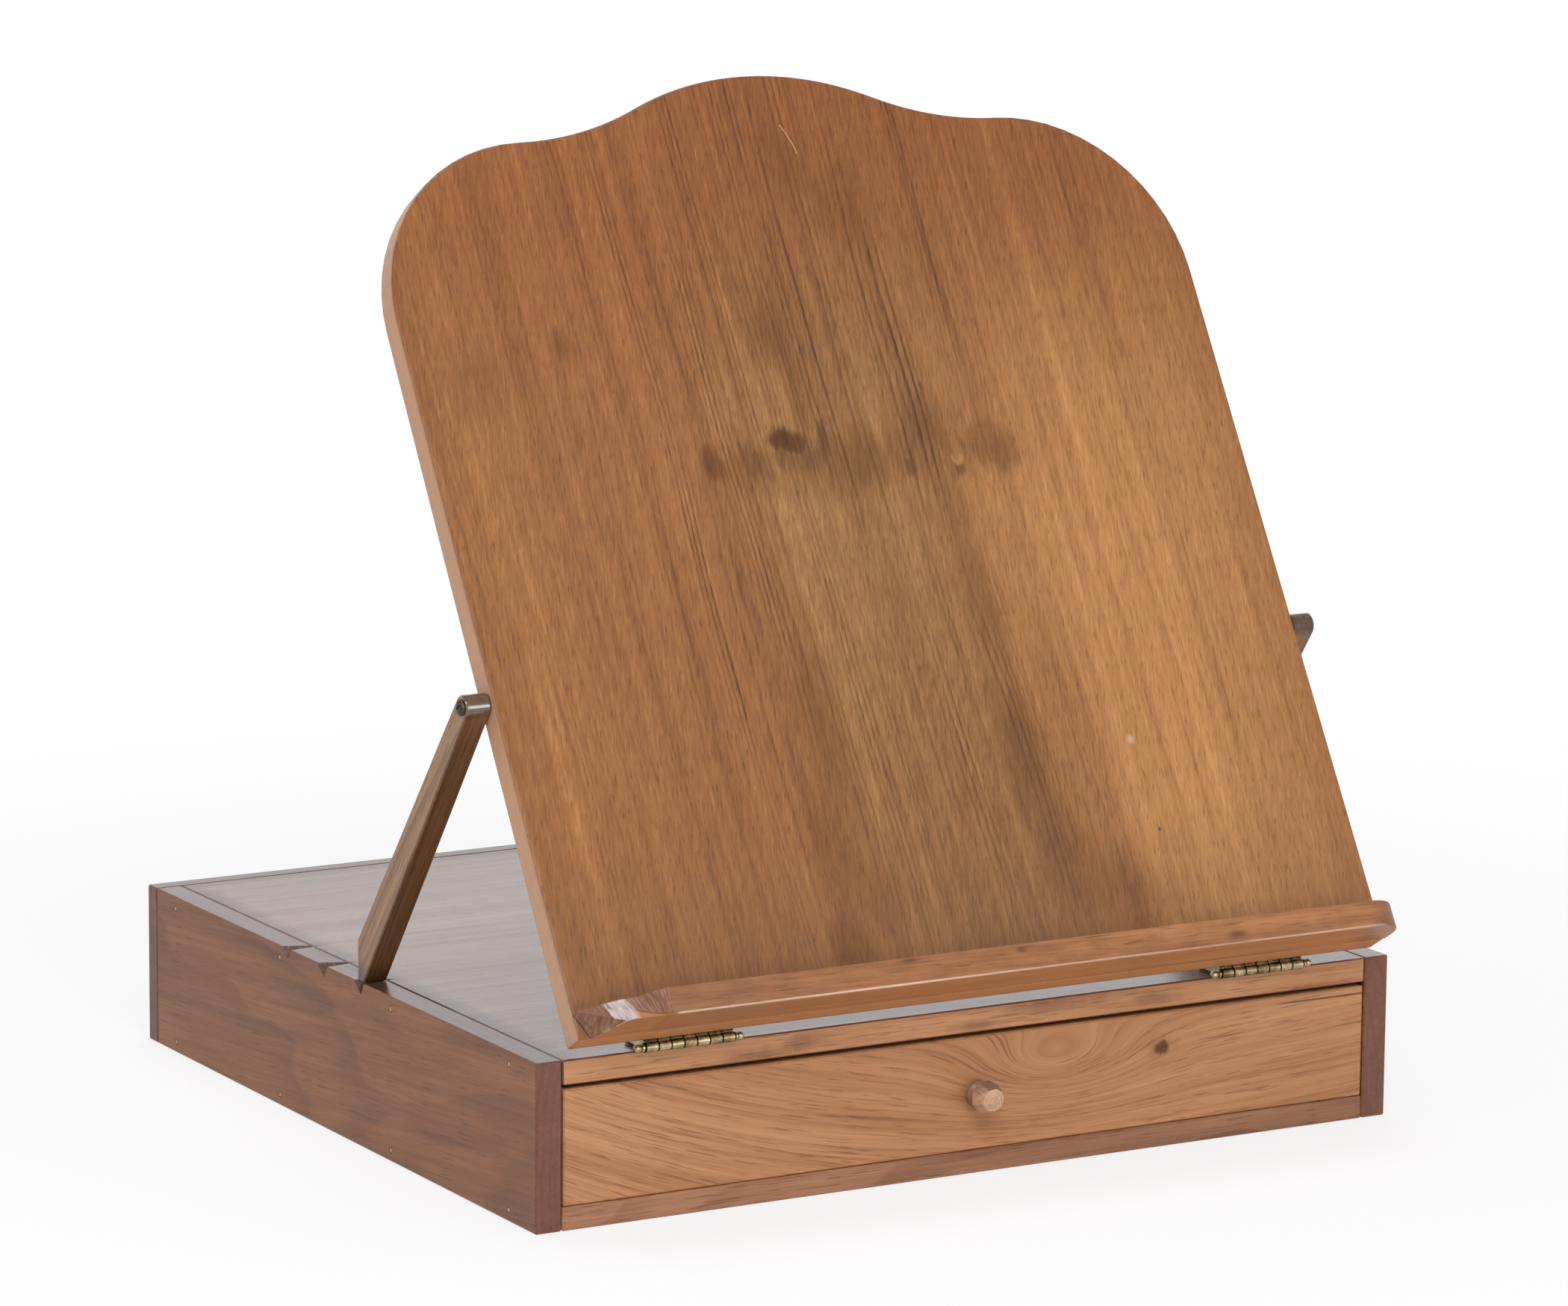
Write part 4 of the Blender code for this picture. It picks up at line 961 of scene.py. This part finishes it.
def brass(side):
    """Aged brass, with dirt on the leaves and in the joints between the knuckles."""
    finish = Finish(side + "_hinge_brass")
    x, y, z = finish.split(finish.rest())
    grime = finish.speckle(900.0)
    age = finish.math("MULTIPLY_ADD", finish.speckle(160.0, 2.0), 0.7, finish.times(grime, 0.3))
    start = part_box(side + "_hinge_case_leaf")[0].x
    turn = finish.math("FRACT", finish.math("DIVIDE", finish.less(x, start), KNUCKLE))
    joint = finish.fade(finish.math("PINGPONG", turn, 0.5), KNUCKLE_LINE, KNUCKLE_LINE / 2)
    away = finish.away(finish.join(y, z, 0.0), (PIN.y, PIN.z), (BARREL, BARREL))
    leaf = finish.fade(away, *OFF_BARREL, 0.0, OFF_BARREL_DIRT)
    dirt = finish.most(finish.times(joint, 0.9), leaf)
    colour = finish.mix(dirt, finish.ramp(age, BRASS), HINGE_DIRT)
    finish.shader.inputs["Metallic"].default_value = 1.0
    return finish.done(colour, finish.fade(grime, 0.3, 0.8, 0.25, 0.5), grime)


def steel():
    """Dark steel of the strut screws."""
    finish = Finish("dark_steel_finish")
    grime = finish.speckle(1200.0)
    finish.shader.inputs["Metallic"].default_value = 0.8
    return finish.done(finish.ramp(grime, STEEL), finish.fade(grime, 0.3, 0.8, 0.3, 0.55), grime)


def filler():
    """Pale filler over the nail heads."""
    finish = Finish("nail_filler")
    grime = finish.speckle(1500.0)
    return finish.done(finish.ramp(grime, FILLER), finish.fade(grime, 0.0, 1.0, 0.5, 0.7), grime)


# How squarely a face looks one way, as a cosine, and how near it lies, to count as an outer face
SQUARELY = 0.9
NEARLY = 0.001


def dress(material, *names):
    for name in names:
        NODES[name].data.materials.clear()
        NODES[name].data.materials.append(material)


def dress_faces(material, way, place, *names):
    """Gives the outer faces that look one way, at a place along it, a finish of their own."""
    for name in names:
        mesh = NODES[name].data
        mesh.materials.append(material)
        for face in mesh.polygons:
            if face.normal.dot(way) > SQUARELY and face.center.dot(way) > place - NEARLY:
                face.material_index = len(mesh.materials) - 1


def dress_wood():
    """Each piece of wood gets grain of its own, by a seed."""
    dress(board_wood(), "book_board")
    dress(ledge_wood(), "book_ledge")
    dress(case_wood("left_side_varnish", DEEP, -ACROSS, seed=7.0, lean=(-0.08, 0.02)), "left_side")
    dress(case_wood("right_side_varnish", DEEP, ACROSS, seed=8.0, lean=(0.05, 0.02)), "right_side")
    dress(case_wood("back_varnish", ACROSS, DEEP, seed=9.0), "back_panel")
    dress(top_wood("top_varnish", 10.0, ACROSS), "top_panel")
    dress_faces(top_wood("side_top_varnish", 19.0, DEEP), UP, CASE_TOP, "left_side", "right_side")
    dress_faces(top_wood("back_top_varnish", 20.0, ACROSS), UP, CASE_TOP, "back_panel")
    rail = rail_wood("top_rail_varnish", FRONT, 21.0, RAIL_SMUDGES, dark_side=0.0)
    dress_faces(rail, -DEEP, -CASE_FRONT, "top_panel")
    dress(rail_wood("bottom_varnish", RAIL, 11.0, (), dark_side=0.2), "bottom_panel")
    dress(drawer_wood(), "drawer_front")
    dress(bare_wood("drawer_bare_wood", DEEP, ACROSS, seed=13.0), "drawer_left_side", "drawer_right_side")
    dress(bare_wood("drawer_back_wood", ACROSS, DEEP, seed=14.0), "drawer_back")
    dress(bare_wood("drawer_floor_wood", DEEP, UP, seed=15.0), "drawer_bottom")
    for side in ("left", "right"):
        dress(strut_wood(side), side + "_strut")


def dress_metal():
    metal = {side: brass(side) for side in ("left", "right")}
    dark = steel()
    dots = filler()
    for name in NODES:
        if "hinge" in name or "leaf_screw" in name:
            dress(metal["left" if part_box(name)[1].x < 0 else "right"], name)
        elif "strut_screw" in name:
            dress(dark, name)
        elif "case_nail" in name:
            dress(dots, name)


# Camera, from the fit of the photograph
CAMERA_PLACE = Vector((-1.4486, -2.541, 0.7388))
CAMERA_YAW = math.radians(-29.91)
CAMERA_PITCH = math.radians(10.58)
CAMERA_ROLL = math.radians(0.52)
CAMERA_LENS = 154.594
SENSOR_WIDTH = 36.0


def make_camera():
    right = Vector((math.cos(CAMERA_YAW), math.sin(CAMERA_YAW), 0.0))
    ahead = Vector((-math.sin(CAMERA_YAW), math.cos(CAMERA_YAW), 0.0))
    look = ahead * math.cos(CAMERA_PITCH) - UP * math.sin(CAMERA_PITCH)
    top = UP * math.cos(CAMERA_PITCH) + ahead * math.sin(CAMERA_PITCH)
    rolled_right = right * math.cos(CAMERA_ROLL) + top * math.sin(CAMERA_ROLL)
    rolled_top = top * math.cos(CAMERA_ROLL) - right * math.sin(CAMERA_ROLL)
    turn = Matrix((rolled_right, rolled_top, -look)).transposed().to_4x4()
    lens = bpy.data.cameras.new("photo_camera")
    lens.sensor_fit = "HORIZONTAL"
    lens.sensor_width = SENSOR_WIDTH
    lens.lens = CAMERA_LENS
    camera = bpy.data.objects.new("photo_camera", lens)
    camera.matrix_world = Matrix.Translation(CAMERA_PLACE) @ turn
    bpy.context.scene.collection.objects.link(camera)
    bpy.context.scene.camera = camera


# Studio: a bright sweep behind and a dim room in front and above, by the Y and Z of a direction
ROOM_LEVEL = 0.3
SWEEP_LEVEL = 1.0
SWEEP_BEHIND = (-0.1, 0.55)
SWEEP_ABOVE = (0.75, 0.3)
# The floor: its half size, its cells, how far it lies below the feet, and where it goes over to white
FLOOR_HALF = 8.0
FLOOR_CELLS = 8
FLOOR_DROP = 0.0002
FLOOR_PALE = (0.91, 0.885, 0.91)
FLOOR_WHITE = 0.76
FLOOR_FADE = (0.35, 0.9)
# Soft lights: name, place, width and height, and power in watts
LIGHTS = (
    ("key_light", (-0.9, -2.3, 1.9), (1.6, 1.4), 46.0),
    ("side_strip", (-1.94, -0.42, 1.0), (0.25, 0.9), 5.0),
    ("front_fill", (0.5, -2.4, 0.35), (1.8, 0.5), 12.0),
    ("top_light", (0.0, 0.3, 2.3), (1.2, 1.2), 16.0),
)
LIGHT_AIM = Vector((0.0, 0.0, 0.15))


def backdrop_seen(graph):
    """One for the rays that look at the background, straight or in metal and glass."""
    path = graph.node("LightPath").outputs
    return graph.most(path["Is Camera Ray"], path["Is Glossy Ray"], path["Is Transmission Ray"])


def make_world():
    world = bpy.data.worlds.new("studio")
    world.use_nodes = True
    bpy.context.scene.world = world
    graph = Graph(world.node_tree)
    _, y, z = graph.split(graph.node("TexCoord").outputs["Generated"])
    sweep = graph.times(graph.fade(y, *SWEEP_BEHIND), graph.fade(z, *SWEEP_ABOVE))
    level = graph.math("MULTIPLY_ADD", sweep, SWEEP_LEVEL - ROOM_LEVEL, ROOM_LEVEL)
    back = world.node_tree.nodes["Background"].inputs
    graph.feed(back["Color"], (1.0, 1.0, 1.0))
    graph.feed(back["Strength"], graph.most(level, backdrop_seen(graph)))


def floor_finish():
    """Pale and matt, going over to white away from the lectern."""
    material = bpy.data.materials.new("pale_floor")
    material.use_nodes = True
    material.cycles.emission_sampling = "NONE"
    material.node_tree.nodes.clear()
    graph = Graph(material.node_tree)
    matt = graph.node("BsdfDiffuse")
    graph.feed(matt.inputs["Color"], FLOOR_PALE)
    white = graph.node("Emission")
    place = graph.node("NewGeometry").outputs["Position"]
    away = graph.fade(graph.length(place), *FLOOR_FADE, FLOOR_WHITE, 1.0)
    both = graph.node("MixShader")
    graph.feed(both.inputs[0], graph.times(backdrop_seen(graph), away))
    graph.feed(both.inputs[1], matt.outputs[0])
    graph.feed(both.inputs[2], white.outputs[0])
    graph.feed(graph.node("OutputMaterial").inputs["Surface"], both.outputs[0])
    return material


def make_floor():
    shape = bmesh.new()
    bmesh.ops.create_grid(shape, x_segments=FLOOR_CELLS, y_segments=FLOOR_CELLS, size=FLOOR_HALF)
    mesh = bpy.data.meshes.new("floor")
    shape.to_mesh(mesh)
    shape.free()
    mesh.materials.append(floor_finish())
    floor = bpy.data.objects.new("floor", mesh)
    floor.location.z = -FLOOR_DROP
    bpy.context.scene.collection.objects.link(floor)


def make_lights():
    for name, place, size, power in LIGHTS:
        lamp = bpy.data.lights.new(name, "AREA")
        lamp.shape = "RECTANGLE"
        lamp.size, lamp.size_y = size
        lamp.energy = power
        item = bpy.data.objects.new(name, lamp)
        item.location = place
        item.rotation_euler = (LIGHT_AIM - Vector(place)).to_track_quat("-Z", "Y").to_euler()
        bpy.context.scene.collection.objects.link(item)


dress_wood()
dress_metal()
make_knob()
make_camera()
make_world()
make_floor()
make_lights()
bpy.context.scene.view_settings.view_transform = "Standard"
